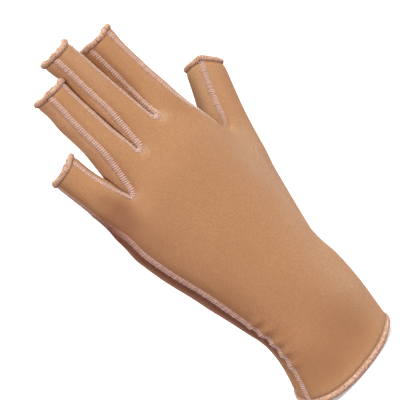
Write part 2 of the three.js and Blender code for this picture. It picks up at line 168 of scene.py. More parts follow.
class GloveSeam(PropertyGroup):
    """Sizes and colours of the overlock seams."""

    width: length("Width", "Width of the folded cloth ridge", 2.3 * MM)
    height: length("Height", "Height of the ridge over the cloth", 0.5 * MM)
    pitch: length("Stitch pitch", "From one thread bar to the next", 1.05 * MM)
    thread: length("Thread", "Radius of the thread", 0.23 * MM)
    slant: length("Slant", "How far a bar leans along the seam", 0.3 * MM)
    colour: colour("Thread", "Colour of the overlock thread", 214, 202, 190)
    thread_low: colour("Thread low", "Colour of the thread's shaded twist", 198, 179, 165)
    # painted shade: colour laid over the side seam's thread and ridge at the little finger's base
    seam_shade: colour("Dull thread", "Colour of the thread where it is rubbed dull", 126, 80, 58)
    ridge: colour("Ridge", "Colour of the folded cloth under the thread", 192, 162, 130)


class GloveHem(PropertyGroup):
    """Sizes and colours of the rolled hems."""

    radius: length("Radius", "Radius of the roll", 1.04 * MM)
    wide: share("Wide", "How much wider than round the worn roll is pressed", 1.18)
    tall: share("Tall", "How tall the pressed roll is left", 0.88)
    off_edge: length("Off the edge", "From the cloth's edge to the middle of the roll", 1.2 * MM)
    raised: length("Raised", "How far the roll's middle lies over the cloth's drawn-in edge", 0.35 * MM)
    lump: share("Lump", "How much thicker the roll is where a seam runs into it", 0.14)
    lump_reach: length("Lump reach", "How far such a lump spreads along the roll", 1.7 * MM)
    peak: length("Peak", "How far the roll rises where a seam runs into it", 0.4 * MM)
    pitch: length("Wrap pitch", "From one wrap of thread to the next", 1.0 * MM)
    thread: length("Thread", "Radius of the thread", 0.16 * MM)
    colour: colour("Hem", "Colour of the rolled cloth", 198, 177, 149)
    wrap: colour("Wrap", "Colour of the thread round the roll", 214, 194, 166)
    wrap_low: colour("Wrap low", "Colour of that thread's shaded twist", 198, 171, 142)
    speck: colour("Speck", "Colour of the dark specks between its loops", 138, 98, 74)


class GloveStage(PropertyGroup):
    """The floor, the light and the camera."""

    azimuth: angle("Azimuth", "Camera's turn about the glove", -22)
    elevation: angle("Elevation", "Camera's height above the horizon", 11)
    roll: angle("Roll", "Camera's turn about its own axis", 45)
    distance: length("Distance", "From the camera to its target", 0.9)
    view: angle("View", "Camera's angle of view", 11.51)
    target: FloatVectorProperty(
        name="Target", description="Point in the middle of the picture",
        default=(5.5 * MM, 0, 98.2 * MM), subtype="TRANSLATION",
    )
    floor: colour("Floor", "Colour of the floor", 250, 249, 247)
    glow: share("Glow", "Strength of the floor's own light", 0.3)
    ambient: share("Ambient", "Mean strength of the light all round", 0.28)
    key: share("Key", "Strength of the soft light on the thumb side", 2.5)
    fill: share("Fill", "Strength of the soft light beside the camera", 0.95)
    side: share("Side", "Strength of the soft light on the little finger's side", 1.05)
    fill_tint: colour("Fill tint", "Colour of the fill and side lights", 255, 243, 247)
    top: share("Top", "Strength of the soft light overhead", 1.6)
    back: share("Back", "Strength of the soft light on the palm", 1.7)


def vectors_of(items, name, size=3):
    """One vector of each item, as rows of numbers."""
    numbers = np.zeros(len(items) * size, np.float32)
    items.foreach_get(name, numbers)
    return numbers.reshape(-1, size).astype(float)


def surface_of(mesh):
    """The places and the normals of a mesh's vertices."""
    return vectors_of(mesh.vertices, "co"), vectors_of(mesh.vertex_normals, "vector")


def set_points(mesh, points):
    """Moves a mesh's vertices to the given places."""
    mesh.vertices.foreach_set("co", points.astype(np.float32).ravel())
    mesh.update()


def mesh_of(name, bm):
    """A mesh from one under construction, which is freed."""
    mesh = bpy.data.meshes.new(name)
    bm.to_mesh(mesh)
    bm.free()
    return mesh


def pour(part, whole):
    """Adds one mesh under construction to another, and frees it."""
    loose = mesh_of("loose_part", part)
    whole.from_mesh(loose)
    bpy.data.meshes.remove(loose)


def tree_of(points):
    """Points that the nearest one can be asked of."""
    tree = KDTree(len(points))
    for number, place in enumerate(points):
        tree.insert(place, number)
    tree.balance()
    return tree


def walls_of(mesh, points):
    """Faces that a ray's hit and the nearest place can be asked of."""
    return BVHTree.FromPolygons(points.tolist(), [list(face.vertices) for face in mesh.polygons])


def placed(x, y, z, place):
    """A frame with the given axes at a place."""
    turned = Matrix((x, y, z)).transposed().to_4x4()
    turned.translation = Vector(place)
    return turned


def shifted(place, offset):
    """A frame moved by an offset across it, out of the cloth and along it."""
    return place @ Matrix.Translation(offset)


def bell(away, reach):
    """1 at no distance, falling smoothly towards 0 beyond the reach."""
    return np.exp(-((away / reach) ** 2))


def spots(points, rows):
    """What rows of a middle and a reach in mm, and an amount, add up to at each point."""
    total = 0.0
    for middle, reach, amount in rows:
        away = np.linalg.norm(points - np.array(middle) * MM, axis=1)
        total = total + np.multiply.outer(bell(away, reach * MM), amount)
    return total


def streaks(points, rows):
    """The same for rows of short lines: from, to and reach in mm, and an amount."""
    total = 0.0
    for start, stop, reach, amount in rows:
        begin, end = np.array(start) * MM, np.array(stop) * MM
        along = end - begin
        part = np.clip((points - begin) @ along / (along @ along), 0, 1)
        away = np.linalg.norm(points - begin - np.outer(part, along), axis=1)
        total = total + amount * bell(away, reach * MM)
    return total


def groups(items, beside):
    """Items that hang together, in groups. beside lists the neighbours of an item."""
    waiting = set(items)
    found = []
    while waiting:
        group = [waiting.pop()]
        for item in group:
            for other in beside(item):
                if other in waiting:
                    waiting.remove(other)
                    group.append(other)
        found.append(group)
    return found


def faces_beside(face):
    return [other for edge in face.edges for other in edge.link_faces]


def edges_beside(edge):
    return [other for vert in edge.verts for other in vert.link_edges]


def outside_of(node, wall):
    """The outer skin of a cloth node in quads, with its cut edges marked as seams."""
    cloth = bmesh.new()
    cloth.from_mesh(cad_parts[node].data)
    bmesh.ops.remove_doubles(cloth, verts=cloth.verts, dist=MERGE)
    rim = [
        face for face in cloth.faces
        if any(abs(edge.calc_length() - wall) < RIM_SLACK for edge in face.edges)
    ]
    bmesh.ops.delete(cloth, geom=rim, context="FACES")
    hem = "hem_wrist" if node == HAND else "hem_" + node.split("_")[1]
    middle = sum(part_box(hem), Vector()) / 2
    inner = []
    for patch in groups(cloth.faces, faces_beside):
        nearest = min(patch, key=lambda face: (face.calc_center_median() - middle).length)
        if nearest.normal.dot(nearest.calc_center_median() - middle) < 0:
            inner += patch
    bmesh.ops.delete(cloth, geom=inner, context="FACES")
    bmesh.ops.join_triangles(
        cloth, faces=cloth.faces,
        angle_face_threshold=QUAD_BEND, angle_shape_threshold=QUAD_SKEW,
    )
    for edge in cloth.edges:
        edge.seam = edge.is_boundary
    return cloth


def chain(pairs):
    """Loose pairs of numbers put in order as one line; a closed line doesn't repeat its start."""
    beside = {}
    for a, b in pairs:
        beside.setdefault(a, []).append(b)
        beside.setdefault(b, []).append(a)
    ends = sorted(number for number, others in beside.items() if len(others) == 1)
    line = [ends[0] if ends else min(beside)]
    while True:
        ahead = [n for n in beside[line[-1]] if n not in line[-2:] and n != line[0]]
        if not ahead:
            return line, not ends
        line.append(ahead[0])


def name_routes(skin):
    """Numbers each seam and hem line of the welded skin by the frame's node that lies on it."""
    layer = skin.edges.layers.int.new(ROUTE_LAYER)
    trees = [tree_of([v.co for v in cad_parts[name].data.vertices]) for name in ROUTES]
    marked = [edge for edge in skin.edges if edge.seam]
    for is_hem in (False, True):
        wanted = [edge for edge in marked if edge.is_boundary == is_hem]
        for line in groups(wanted, edges_beside):
            places = [edge.verts[0].co for edge in line]
            away = [
                sum(tree.find(place)[2] for place in places)
                if (name in HEMS) == is_hem else math.inf
                for name, tree in zip(ROUTES, trees)
            ]
            for edge in line:
                edge[layer] = 1 + away.index(min(away))


def welded_skin(wall):
    """All the cloth as one skin, each face numbered by its panel."""
    skin = bmesh.new()
    for number, node in enumerate(PANELS):
        cloth = outside_of(node, wall)
        for face in cloth.faces:
            face.material_index = number
            face.smooth = True
        pour(cloth, skin)
    bmesh.ops.remove_doubles(skin, verts=skin.verts, dist=WELD)
    name_routes(skin)
    return mesh_of("worn_skin", skin)


def unwrap(bench):
    """Unwraps the skin along its seams."""
    bench.data.uv_layers.new(name=FLAT_MAP)
    bpy.ops.object.select_all(action="DESELECT")
    bench.select_set(True)
    bpy.context.view_layer.objects.active = bench
    bpy.ops.object.mode_set(mode="EDIT")
    bpy.ops.mesh.select_all(action="SELECT")
    bpy.ops.uv.unwrap(method="ANGLE_BASED", margin=0.01)
    bpy.ops.object.mode_set(mode="OBJECT")


def lay_flat(mesh):
    """Lays each panel of the unwrapped skin flat at its real size, fingers upwards."""
    flat = mesh.uv_layers[FLAT_MAP].uv
    places = vectors_of(flat, "vector", 2)
    heights = np.array([mesh.vertices[loop.vertex_index].co.z for loop in mesh.loops])
    for number in range(len(PANELS)):
        faces = [face for face in mesh.polygons if face.material_index == number]
        loops = np.array([loop for face in faces for loop in face.loop_indices])
        area = 0.0
        upwards = np.zeros(2)
        for face in faces:
            span = list(face.loop_indices)
            corners = places[span]
            x, y = corners[:, 0], corners[:, 1]
            area += (x * np.roll(y, -1) - y * np.roll(x, -1)).sum() / 2
            if face.normal.y < 0:
                rise = heights[span]
                upwards += (corners - corners.mean(0)).T @ (rise - rise.mean()) / corners.var()
        size = math.sqrt(sum(face.area for face in faces) / abs(area))
        turn = math.pi / 2 - math.atan2(upwards[1], upwards[0])
        spin = np.array([[math.cos(turn), -math.sin(turn)], [math.sin(turn), math.cos(turn)]])
        laid = places[loops] @ spin.T * size
        places[loops] = laid - laid.mean(0)
    flat.foreach_set("vector", places.astype(np.float32).ravel())


def smoothed(bench, steps):
    """The bench's mesh after its subdivision steps, which still run through the frame's vertices."""
    modifier = bench.modifiers.new("smooth", "SUBSURF")
    modifier.levels = modifier.render_levels = steps
    coarse = bench.data
    wanted = vectors_of(coarse.vertices, "co")
    for _ in range(HOLD_ROUNDS):
        depsgraph = bpy.context.evaluated_depsgraph_get()
        reached = vectors_of(bench.evaluated_get(depsgraph).data.vertices, "co")[:len(wanted)]
        set_points(coarse, vectors_of(coarse.vertices, "co") + wanted - reached)
    depsgraph = bpy.context.evaluated_depsgraph_get()
    return bpy.data.meshes.new_from_object(
        bench.evaluated_get(depsgraph), preserve_all_data_layers=True, depsgraph=depsgraph
    )


def lines_of(mesh):
    """Each seam's and hem's vertices in order, and whether the line is closed, by its node's name."""
    numbers = np.zeros(len(mesh.edges), np.int32)
    mesh.attributes[ROUTE_LAYER].data.foreach_get("value", numbers)
    found = {}
    for index, name in enumerate(ROUTES):
        pairs = [tuple(mesh.edges[i].vertices) for i in np.flatnonzero(numbers == index + 1)]
        found[name] = chain([(int(a), int(b)) for a, b in pairs])
    return found


def even(points, normals, step, closed, rounds=10):
    """A line with its normals, sampled again every step and rounded off."""
    if closed:
        points = np.vstack([points, points[:1]])
        normals = np.vstack([normals, normals[:1]])
    gaps = np.linalg.norm(np.diff(points, axis=0), axis=1)
    along = np.concatenate([[0], np.cumsum(gaps)])
    count = max(4, round(along[-1] / step))
    at = np.linspace(0, along[-1], count + 1)
    at = at[:-1] if closed else at
    columns = [np.interp(at, along, values) for values in np.hstack([points, normals]).T]
    rows = np.stack(columns, axis=1)
    for _ in range(rounds):
        after, before = np.roll(rows, -1, 0), np.roll(rows, 1, 0)
        round_off = (after + 2 * rows + before) / 4
        if not closed:
            round_off[[0, -1]] = rows[[0, -1]]
        rows = round_off
    return rows[:, :3], rows[:, 3:]


def places_along(points, normals, closed):
    """A frame at each point of a line: x across it, y out of the cloth, z along it."""
    if closed:
        along = np.roll(points, -1, 0) - np.roll(points, 1, 0)
    else:
        along = np.gradient(points, axis=0)
    frames = []
    for place, out, ahead in zip(points, normals, along):
        z = Vector(ahead).normalized()
        upright = Vector(out)
        y = (upright - z * upright.dot(z)).normalized()
        frames.append(placed(y.cross(z), y, z, place))
    return frames


CROTCH_PULL = {  # how far the cloth at each crotch is pulled towards the thumb and up the fingers
    "little_ring": (1.5 * MM, 1.6 * MM),
    "ring_middle": (1.5 * MM, 1.6 * MM),
    "middle_index": (0.9 * MM, 1.5 * MM),
}
CROTCH_PINCH = 0.9 * MM  # how far the two sides of a gap close over its end
PINCH_AT = 8 * MM  # how far from the crotch they close most
PULL_START = 3 * MM  # how far up the thumb side of the crotch that pull begins
LEG_SLIDE = {  # how far each gap's back seam slides round the finger on its ulnar side
    "little_ring": 0.4 * MM,
    "ring_middle": -0.6 * MM,
    "middle_index": 0.6 * MM,
}
SEAM_LEAN = math.radians(26)  # how far a seam of the back is pressed over
SEAM_LIFT = 0.2 * MM  # how far such a seam is lifted off the cloth
WEB_PINCH = 0.55  # how much thinner the web's seam is at its turn
WEB_PINCH_REACH = 5 * MM  # how far up the thumb it stays thinner
WEB_PINCH_LONG = 2.6  # how much further it does up the index finger
SIDE_STOUT = 1.05  # how much stouter than the others the side seam is
CROTCH_TURN = 6.5 * MM  # how far along the seam the turn at a crotch reaches
LEG_FADE = 34 * MM  # how far up the finger a seam is pulled over the gap
SIDE_SLIDE = {  # mm round the edge of the hand, by height
    0.0: 0.7, 30 * MM: 0.2, 50 * MM: -0.1, 100 * MM: -0.2, 112 * MM: 0.0, 120 * MM: 0.5, 128 * MM: 1.3,
    136 * MM: 2.0, 142 * MM: 2.4,
}
WEB_SLIDE = {  # mm round the edge of the hand, by the distance from the web
    -75 * MM: -2.4, -50 * MM: -2.2, -35 * MM: -0.9, -25 * MM: 1.6, -16 * MM: 4.6, -6 * MM: 4.4,
    0.0: 2.4, 4 * MM: 0.0,
}
PULL_REACH = 7 * MM  # how far from a seam the cloth of the hand moves with it
WEB_REACH = 13 * MM  # the same, for the seam round the web of the thumb
PULL_ROUNDS = 5  # how often the pulls are evened out over the cloth
SLIDE_ROUNDS = 40  # how often the slides are
LINE_STEP = 0.5 * MM  # between the points of a line that distances are taken from
RAY_CLEAR = 0.3 * MM  # how far off the cloth a look across a finger gap starts
SWELL_LOOK = 12 * MM  # how far that look reaches
SWELL_FROM_SEAM = 2 * MM  # over what distance a strip swells up from its seams
SWELL_FROM_HEM = 18 * MM  # and from its hems
SWELL_ROUNDS = 2  # how often the swell is evened out over the cloth
PILLOW_WIDE = 0.6  # width of the swell beside a seam, as a share of its distance from it
NUDGES = (  # middle, reach and move in mm of each part of a hem that is worn askew
    ((57.1, 8.5, 138.0), 4.5, (1.3, -0.3, 1.3)),
    ((67.1, 11.6, 133.0), 9.0, (-1.0, -0.2, -2.8)),
    ((32.8, 0.3, 180.2), 5.0, (1.0, -0.2, 1.0)),
    ((18.7, 6.1, 180.0), 5.0, (-1.5, 0.5, 0.9)),
    ((-3.2, 1.0, 181.0), 5.0, (0.9, 0.0, 0.6)),
    ((14.2, -0.4, 189.2), 6.0, (-0.3, 0.5, 1.6)),
    ((0.3, 4.4, 188.9), 6.0, (-0.8, 0.4, 1.0)),
    ((-14.9, 5.5, 179.3), 4.0, (-0.8, 0.6, 0.8)),
    ((-23.0, 3.6, 151.6), 6.0, (1.0, 0.0, 2.1)),
)
HOLLOWS = (  # from, to, reach and depth in mm of each hollow; a depth below zero is a swell
    ((-29.5, -6.5, 128), (-30.5, -6.5, 116), 5.5, 1.7),
    ((-34.4, 1.0, 128), (-34.6, 1.0, 115), 5.0, -1.0),
    ((-33.5, 2.5, 96), (-28.5, 2.5, 68), 7.0, -0.45),
    ((-26.0, 2.5, 58), (-22.5, 2.5, 41), 8.0, -1.0),
    ((62.5, 9.8, 126), (46.0, 2.5, 92), 8.5, -1.3),
    ((33.0, -2.0, 146), (35.5, -1.5, 131), 6.0, -0.5),
    ((40.0, 0.0, 74), (34.0, -3.0, 58), 9.0, -0.45),
    ((30.5, -7.5, 35), (27.0, -9.0, 0), 7.0, -1.2),
    ((-22.5, -11.0, 117), (-25.0, -11.0, 107), 7.5, -0.7),
    ((40.6, 1.0, 111.0), (40.6, 1.5, 112.5), 2.2, 1.3),
    ((-34.2, 1.5, 114), (-35.0, 1.5, 104), 6.0, -0.9),
    ((52.0, 12.5, 137), (41.5, 8.0, 119.5), 4.5, -1.5),
    ((-2.0, -16.4, 36), (-5.5, -16.5, 20), 11.0, 0.6),
    ((-14.0, -15.0, 3), (18.0, -18.0, 3), 13.0, 1.6),
)
GATHERS = (43.5 * MM, 36.8 * MM, 29.5 * MM, 23.5 * MM, 16.5 * MM)  # their heights on the side seam
GATHER_MARGIN = 6 * MM  # how far past the last gathers the cloth is split finer
GATHER_SPREAD = 2.4  # how far from the seam it is, in reaches of a gather
GATHER_FADE = 4 * MM  # over what length the gathers start and end
GATHER_SWING = 0.8  # how much of their height they rise and fall
CROTCH_HIGHLIGHT_PLACE = (2.0 * MM, 0, -1.8 * MM)  # from a crotch to the middle of its paler spot: stretched knit and painted highlight
CROTCH_HIGHLIGHT_REACH = 2.4 * MM  # how far that spot spreads
CROTCH_HIGHLIGHT = 0.8  # how much paler the spot is
WRIST_STRIP_HIGHLIGHT = 0.2  # how much paler the strip beside the wrist hem is: stretched knit and painted highlight
WRIST_BAND = 12 * MM  # up to what height that strip is looked for
TURNED_AT = 2.6 * MM  # from the wrist's hem to the middle of the paler strip beside it
TURNED_WIDE = 1.2 * MM  # half the width of that strip
FACING_REACH = 6 * MM  # the widest finger gap whose facing strips get light painted into their shade
FACING_CLEAR = 1 * MM  # the narrowest gap where they are so in full
STRIPS_PAINTED_LIGHT = 0.3  # how much light is painted into the shaded strips between the fingers
FACING_PAINTED_LIGHT = 1.1  # how much more light is painted where they face each other closely
PAINTED_LIGHT_PLACES = (  # middle and reach in mm, and amount, of each other place where light is painted into the knit
    ((-16.2, -11.1, 40), 7.0, 0.12),
    ((-16.1, -10.9, 26.6), 8.0, 0.2),
)
STRIPS_STRETCH_AND_LIGHT = 0.12  # how much paler the strips between the fingers are: stretched knit and painted light
STRETCH_AND_HIGHLIGHT_STREAKS = (  # from, to and reach in mm, and amount, of each paler streak over the hand: stretched knit and painted highlight
    ((36.0, -4.0, 92), (23.0, -13.0, 32), 13.0, 0.37),
    ((28.0, -9.0, 114), (33.0, -7.0, 96), 11.0, 0.2),
    ((43.5, 1.0, 102), (37.0, 0.0, 74), 6.5, 0.32),
    ((25.0, -12.0, 20), (25.0, -12.0, 4), 9.0, 0.3),
    ((60.0, 8.0, 130), (48.0, 4.0, 104), 9.0, 0.1),
    ((50.0, 9.0, 133), (44.0, 8.0, 121), 6.0, 0.26),
    ((11.0, -6.0, 184), (10.0, -7.5, 170), 6.0, 0.18),
)
PAINTED_SHADE_PLACES = (  # middle and reach in mm, and amount, of each place where shade is painted into the knit
    ((6.0, -17.8, 22), 15.0, 0.24),
    ((6.0, -18.0, 5), 12.0, 0.24),
    ((-13.0, -16.5, 5), 10.0, 0.3),
    ((-23.0, -6.0, 124.5), 5.0, 0.3),
    ((-30.4, -5.4, 126), 6.0, 0.26),
    ((-30.8, -5.4, 121), 9.0, 0.35),
    ((-32.0, -5.6, 112), 7.5, 0.32),
    ((-18.8, 2.5, 146), 6.0, 0.3),
    ((-11.5, -13.0, 122), 13.0, 0.14),
    ((-27.0, -11.0, 112), 8.0, 0.1),
)
PAINTED_SHADE_BELOW = (1.25, 10 * MM)  # how much shade is painted on the palm's side of the side seam, and from what height
PAINTED_SHADE_ABOVE = (0.14, 40 * MM)  # the same for the back's side of it
PAINTED_SHADE_FADE = 20 * MM  # over what height that painted shade sets in
PAINTED_SHADE_RISE = 1.5 * MM  # how far from the seam it is in full
PAINTED_SHADE_REACH = 6 * MM  # how far from the seam it spreads
ULNAR_SIDE = -10 * MM  # the cloth past here is beside the side seam
CONTACT_SHADE_REACH = 2 * MM  # the widest finger gap where shade is painted for fingers that touch
CONTACT_PAINTED_SHADE = 0.15  # how much shade is painted where the fingers touch
SEAM_SHADE_PLACE = (-35 * MM, -1 * MM, 121 * MM)  # middle of the painted shade on the side seam at the little finger's base
SEAM_SHADE_REACH = 21 * MM  # how far along the seam that shade reaches
SEAM_SHADE_AMOUNT = 0.9  # how dark the painted shade is in the middle


def run_of(route):
    """How far along each point of a line is."""
    return np.concatenate([[0], np.cumsum(np.linalg.norm(np.diff(route, axis=0), axis=1))])


def seam_pulls(name, route, normals):
    """How far the worn cloth pulls each point of a seam from the frame's line, and slides it round."""
    run = run_of(route)
    low = route[:, 2].argmin()
    run -= run[low]
    pulls = np.zeros_like(route)
    gap = name.split("_", 2)[-1]
    if gap in CROTCH_PULL:
        aside, upwards = CROTCH_PULL[gap]
        if route[:low, 0].mean() > route[low:, 0].mean():
            run = -run
        up_leg = np.minimum(run, 0)
        over = np.clip((PULL_START - run) / CROTCH_TURN, 0, 1)
        ease = over * over * (3 - 2 * over) * bell(up_leg, LEG_FADE)
        close = bell(np.abs(run) - PINCH_AT, PINCH_AT) * np.sign(-run)
        pulls[:, 0] = aside * ease + CROTCH_PINCH * close
        pulls[:, 2] = upwards * bell(run, CROTCH_TURN)
        on_back = name.startswith("seam_back_")
        slide = (1 - bell(up_leg, 2 * CROTCH_TURN)) * LEG_SLIDE[gap] * on_back
    elif name == "seam_side":
        slide = np.interp(route[:, 2], list(SIDE_SLIDE), list(SIDE_SLIDE.values())) * MM
    else:
        slide = np.interp(run, list(WEB_SLIDE), list(WEB_SLIDE.values())) * MM
    slides = np.zeros_like(route)
    for number, place in enumerate(places_along(route, normals, False)):
        across = place.col[0].to_3d()
        slides[number] = np.array(across) * slide[number] * (1 if across.y > 0 else -1)
    return np.hstack([pulls, slides])


def pull_seams(mesh, lines):
    """Moves the seams to where they are worn, and the cloth beside them with them."""
    points, normals = surface_of(mesh)
    rows = [lines[name][0] for name in SEAMS]
    sewn = np.concatenate(rows)
    pulls = np.vstack([seam_pulls(n, points[row], normals[row]) for n, row in zip(SEAMS, rows)])
    far = {"seam_web": WEB_REACH}
    reach = np.concatenate([[far.get(n, PULL_REACH)] * len(row) for n, row in zip(SEAMS, rows)])
    tree = tree_of(points[sewn])
    strip = strip_points(mesh)
    field = np.zeros((len(points), 6))
    for number, place in enumerate(points):
        _, index, away = tree.find(place)
        hold = 1.0 if strip[number] else (1 - min(1.0, away / reach[index]) ** 2) ** 2
        field[number] = pulls[index] * hold
    pull = spread_out(mesh, field[:, :3], PULL_ROUNDS) + spots(points, NUDGES) * MM
    slide = spread_out(mesh, field[:, 3:], SLIDE_ROUNDS, sewn)
    skin = walls_of(mesh, points)
    for number in np.flatnonzero(np.linalg.norm(slide, axis=1) > MERGE):
        points[number] = skin.find_nearest(Vector(points[number] + slide[number]))[0]
    set_points(mesh, points + pull)


def strip_points(mesh):
    """Which vertices belong to the strips between the fingers."""
    strip = np.zeros(len(mesh.vertices), bool)
    for face in mesh.polygons:
        if PANELS[face.material_index] != HAND:
            strip[list(face.vertices)] = True
    return strip


def spread_out(mesh, field, rounds, held=slice(0)):
    """A field of moves, evened out between neighbouring vertices; held vertices keep theirs."""
    ends = np.zeros(len(mesh.edges) * 2, np.int32)
    mesh.edges.foreach_get("vertices", ends)
    one, other = ends.reshape(-1, 2).T
    count = np.bincount(ends, minlength=len(field))[:, None]
    for _ in range(rounds):
        around = np.zeros_like(field)
        np.add.at(around, one, field[other])
        np.add.at(around, other, field[one])
        evened = (field + around / count) / 2
        evened[held] = field[held]
        field = evened
    return field


def gap_width(walls, place, out, reach):
    """How far past RAY_CLEAR the cloth that a place faces is, or None where it is out of reach."""
    return walls.ray_cast(place + out * RAY_CLEAR, out, reach)[3]


def fill_strips(mesh, lines, cloth):
    """Swells the strips between the fingers until neighbouring fingers touch."""
    points, normals = surface_of(mesh)
    seams = tree_of(np.vstack([points[lines[name][0]] for name in SEAMS]))
    hems = tree_of(np.vstack([points[lines[name][0]] for name in HEMS]))
    walls = walls_of(mesh, points)
    field = np.zeros((len(points), 1))
    for number in np.flatnonzero(strip_points(mesh)):
        place, out = Vector(points[number]), Vector(normals[number])
        turn = max(0.0, min(1.0, 0.5 + out.x))
        swell = cloth.fullness + (cloth.thumbward - cloth.fullness) * turn
        swell *= 1 - bell(seams.find(place)[2], SWELL_FROM_SEAM)
        swell *= 1 - bell(hems.find(place)[2], SWELL_FROM_HEM)
        facing = gap_width(walls, place, out, SWELL_LOOK)
        if facing is not None:
            swell = min(swell, (facing + RAY_CLEAR) / 2)
        field[number] = swell
    set_points(mesh, points + normals * spread_out(mesh, field, SWELL_ROUNDS))


def gathered(mesh, cloth):
    """Splits the faces along the gathered part of the side seam, so that they can follow it."""
    points = vectors_of(mesh.vertices, "co")
    side = tree_of(points[lines_of(mesh)["seam_side"][0]])
    fine = bmesh.new()
    fine.from_mesh(mesh)
    low, high = min(GATHERS) - GATHER_MARGIN, max(GATHERS) + GATHER_MARGIN
    reach = GATHER_SPREAD * cloth.gather_reach
    near = {v for v in fine.verts if low < v.co.z < high and side.find(v.co)[2] < reach}
    edges = [edge for edge in fine.edges if near.issuperset(edge.verts)]
    bmesh.ops.subdivide_edges(fine, edges=edges, cuts=1, use_grid_fill=True)
    fine.to_mesh(mesh)
    fine.free()


def gather_height(z, cloth):
    """How high the gathers stand at a height of the side seam, as a share of their full height."""
    waves = sum(bell(z - at, cloth.gather_width) for at in GATHERS)
    from_ends = min(z - min(GATHERS), max(GATHERS) - z)
    inside = max(0.0, min(1.0, from_ends / GATHER_FADE + 1))
    return inside * GATHER_SWING * (2 * waves - 1)


def dense_line(points, line):
    """A seam's or hem's line on the skin, sampled closely."""
    route, closed = line
    return even(points[route], points[route], LINE_STEP, closed, rounds=0)[0]


def draw_in(mesh, lines, cloth):
    """Draws the cloth in along its seams, swells it beside them, and gathers and hollows it."""
    points, normals = surface_of(mesh)
    dense = [dense_line(points, lines[name]) for name in SEAMS]
    owners = np.concatenate([[i] * len(line) for i, line in enumerate(dense)])
    seams = tree_of(np.vstack(dense))
    hems = tree_of(np.vstack([dense_line(points, lines[name]) for name in HEMS]))
    side = SEAMS.index("seam_side")
    moves = streaks(points, HOLLOWS) * -MM
    for number, place in enumerate(points):
        near, index, away = seams.find(place)
        swell = bell(away - cloth.pillow_at, PILLOW_WIDE * cloth.pillow_at)
        moves[number] += cloth.pillow * swell - cloth.seam_dip * bell(away, cloth.seam_dip_reach)
        moves[number] -= cloth.hem_dip * bell(hems.find(place)[2], cloth.hem_dip_reach)
        if owners[index] == side:
            fade = bell(away, cloth.gather_reach)
            moves[number] += cloth.gather * fade * gather_height(near.z, cloth)
    set_points(mesh, points + normals * moves[:, None])


def stretch_and_highlight_of_knit(points, lines):
    """How much paler the knit is at each point over the hand, at crotches and by the wrist's hem:
    stretch and painted highlight.
    """
    strain = streaks(points, STRETCH_AND_HIGHLIGHT_STREAKS)
    for name in SEAMS:
        if name.startswith("seam_back_"):
            route = points[lines[name][0]]
            crotch = route[route[:, 2].argmin()]
            away = np.linalg.norm(points - crotch - CROTCH_HIGHLIGHT_PLACE, axis=1)
            strain += CROTCH_HIGHLIGHT * bell(away, CROTCH_HIGHLIGHT_REACH)
    wrist = tree_of(points[lines["hem_wrist"][0]])
    for number in np.flatnonzero(points[:, 2] < WRIST_BAND):
        away = wrist.find(points[number])[2]
        strain[number] += WRIST_STRIP_HIGHLIGHT * bell(away - TURNED_AT, TURNED_WIDE)
    return strain


def painted_shade_of_knit(points, lines):
    """How much shade is painted into the knit at each point: at a few places and on both sides of the
    side seam.
    """
    slack = spots(points, PAINTED_SHADE_PLACES)
    side = tree_of(points[lines["seam_side"][0]])
    for number in np.flatnonzero(points[:, 0] < ULNAR_SIDE):
        near, _, away = side.find(points[number])
        amount, lowest = PAINTED_SHADE_BELOW if points[number][1] > near.y else PAINTED_SHADE_ABOVE
        amount *= max(0.0, min(1.0, (near.z - lowest) / PAINTED_SHADE_FADE))
        slack[number] += amount * min(1.0, away / PAINTED_SHADE_RISE) * bell(away, PAINTED_SHADE_REACH)
    return slack


def mark_knit(mesh, lines):
    """Marks the knit's painted light, painted shade and painted highlight, and where it is stretched,
    in attributes that its finish reads.
    """
    points, normals = surface_of(mesh)
    strips = np.flatnonzero(strip_points(mesh))
    strain = stretch_and_highlight_of_knit(points, lines)
    slack = painted_shade_of_knit(points, lines)
    # painted light beside the gathers; the strips get theirs below
    paler = spots(points, PAINTED_LIGHT_PLACES)
    strain[strips] += STRIPS_STRETCH_AND_LIGHT
    paler[strips] += STRIPS_PAINTED_LIGHT
    walls = walls_of(mesh, points)
    # painted light in the shade of strips that face each other across a finger gap
    for number in strips:
        facing = gap_width(walls, Vector(points[number]), Vector(normals[number]), FACING_REACH)
        if facing is not None:
            closeness = min(1.0, facing / FACING_CLEAR) * (1 - facing / FACING_REACH)
            paler[number] += FACING_PAINTED_LIGHT * closeness
            # painted shade where the strips of two fingers touch
            slack[number] += CONTACT_PAINTED_SHADE * max(0.0, 1 - facing / CONTACT_SHADE_REACH)
    for name, values in ((STRETCH_AND_HIGHLIGHT, strain), (PAINTED_SHADE, slack), (PAINTED_LIGHT, paler)):
        marks = mesh.attributes.new(name, "FLOAT", "POINT").data
        marks.foreach_set("value", values.astype(np.float32))


made = {}  # what one operator leaves for the next


def worn_skin(context):
    """The fine worn skin, made once: its mesh and its seam and hem lines."""
    if "skin" not in made:
        cloth = context.scene.glove_cloth
        bench = bpy.data.objects.new("bench", welded_skin(cloth.wall))
        context.scene.collection.objects.link(bench)
        unwrap(bench)
        lay_flat(bench.data)
        mesh = smoothed(bench, cloth.smoothing)
        bpy.data.objects.remove(bench)
        gathered(mesh, cloth)
        lines = lines_of(mesh)
        pull_seams(mesh, lines)
        fill_strips(mesh, lines, cloth)
        draw_in(mesh, lines, cloth)
        mark_knit(mesh, lines)
        made["skin"] = mesh
        made["lines"] = lines
        made["points"], made["normals"] = surface_of(mesh)
    return made["skin"]


def add_piece(context, name, bm, material, node=None):
    """Makes a mesh a named piece of the glove."""
    for face in bm.faces:
        face.smooth = True
    mesh = mesh_of(name, bm)
    mesh.materials.append(material)
    piece = bpy.data.objects.new(name, mesh)
    context.scene.collection.objects.link(piece)
    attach(piece, BODY)
    if node:
        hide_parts(node)
    return piece


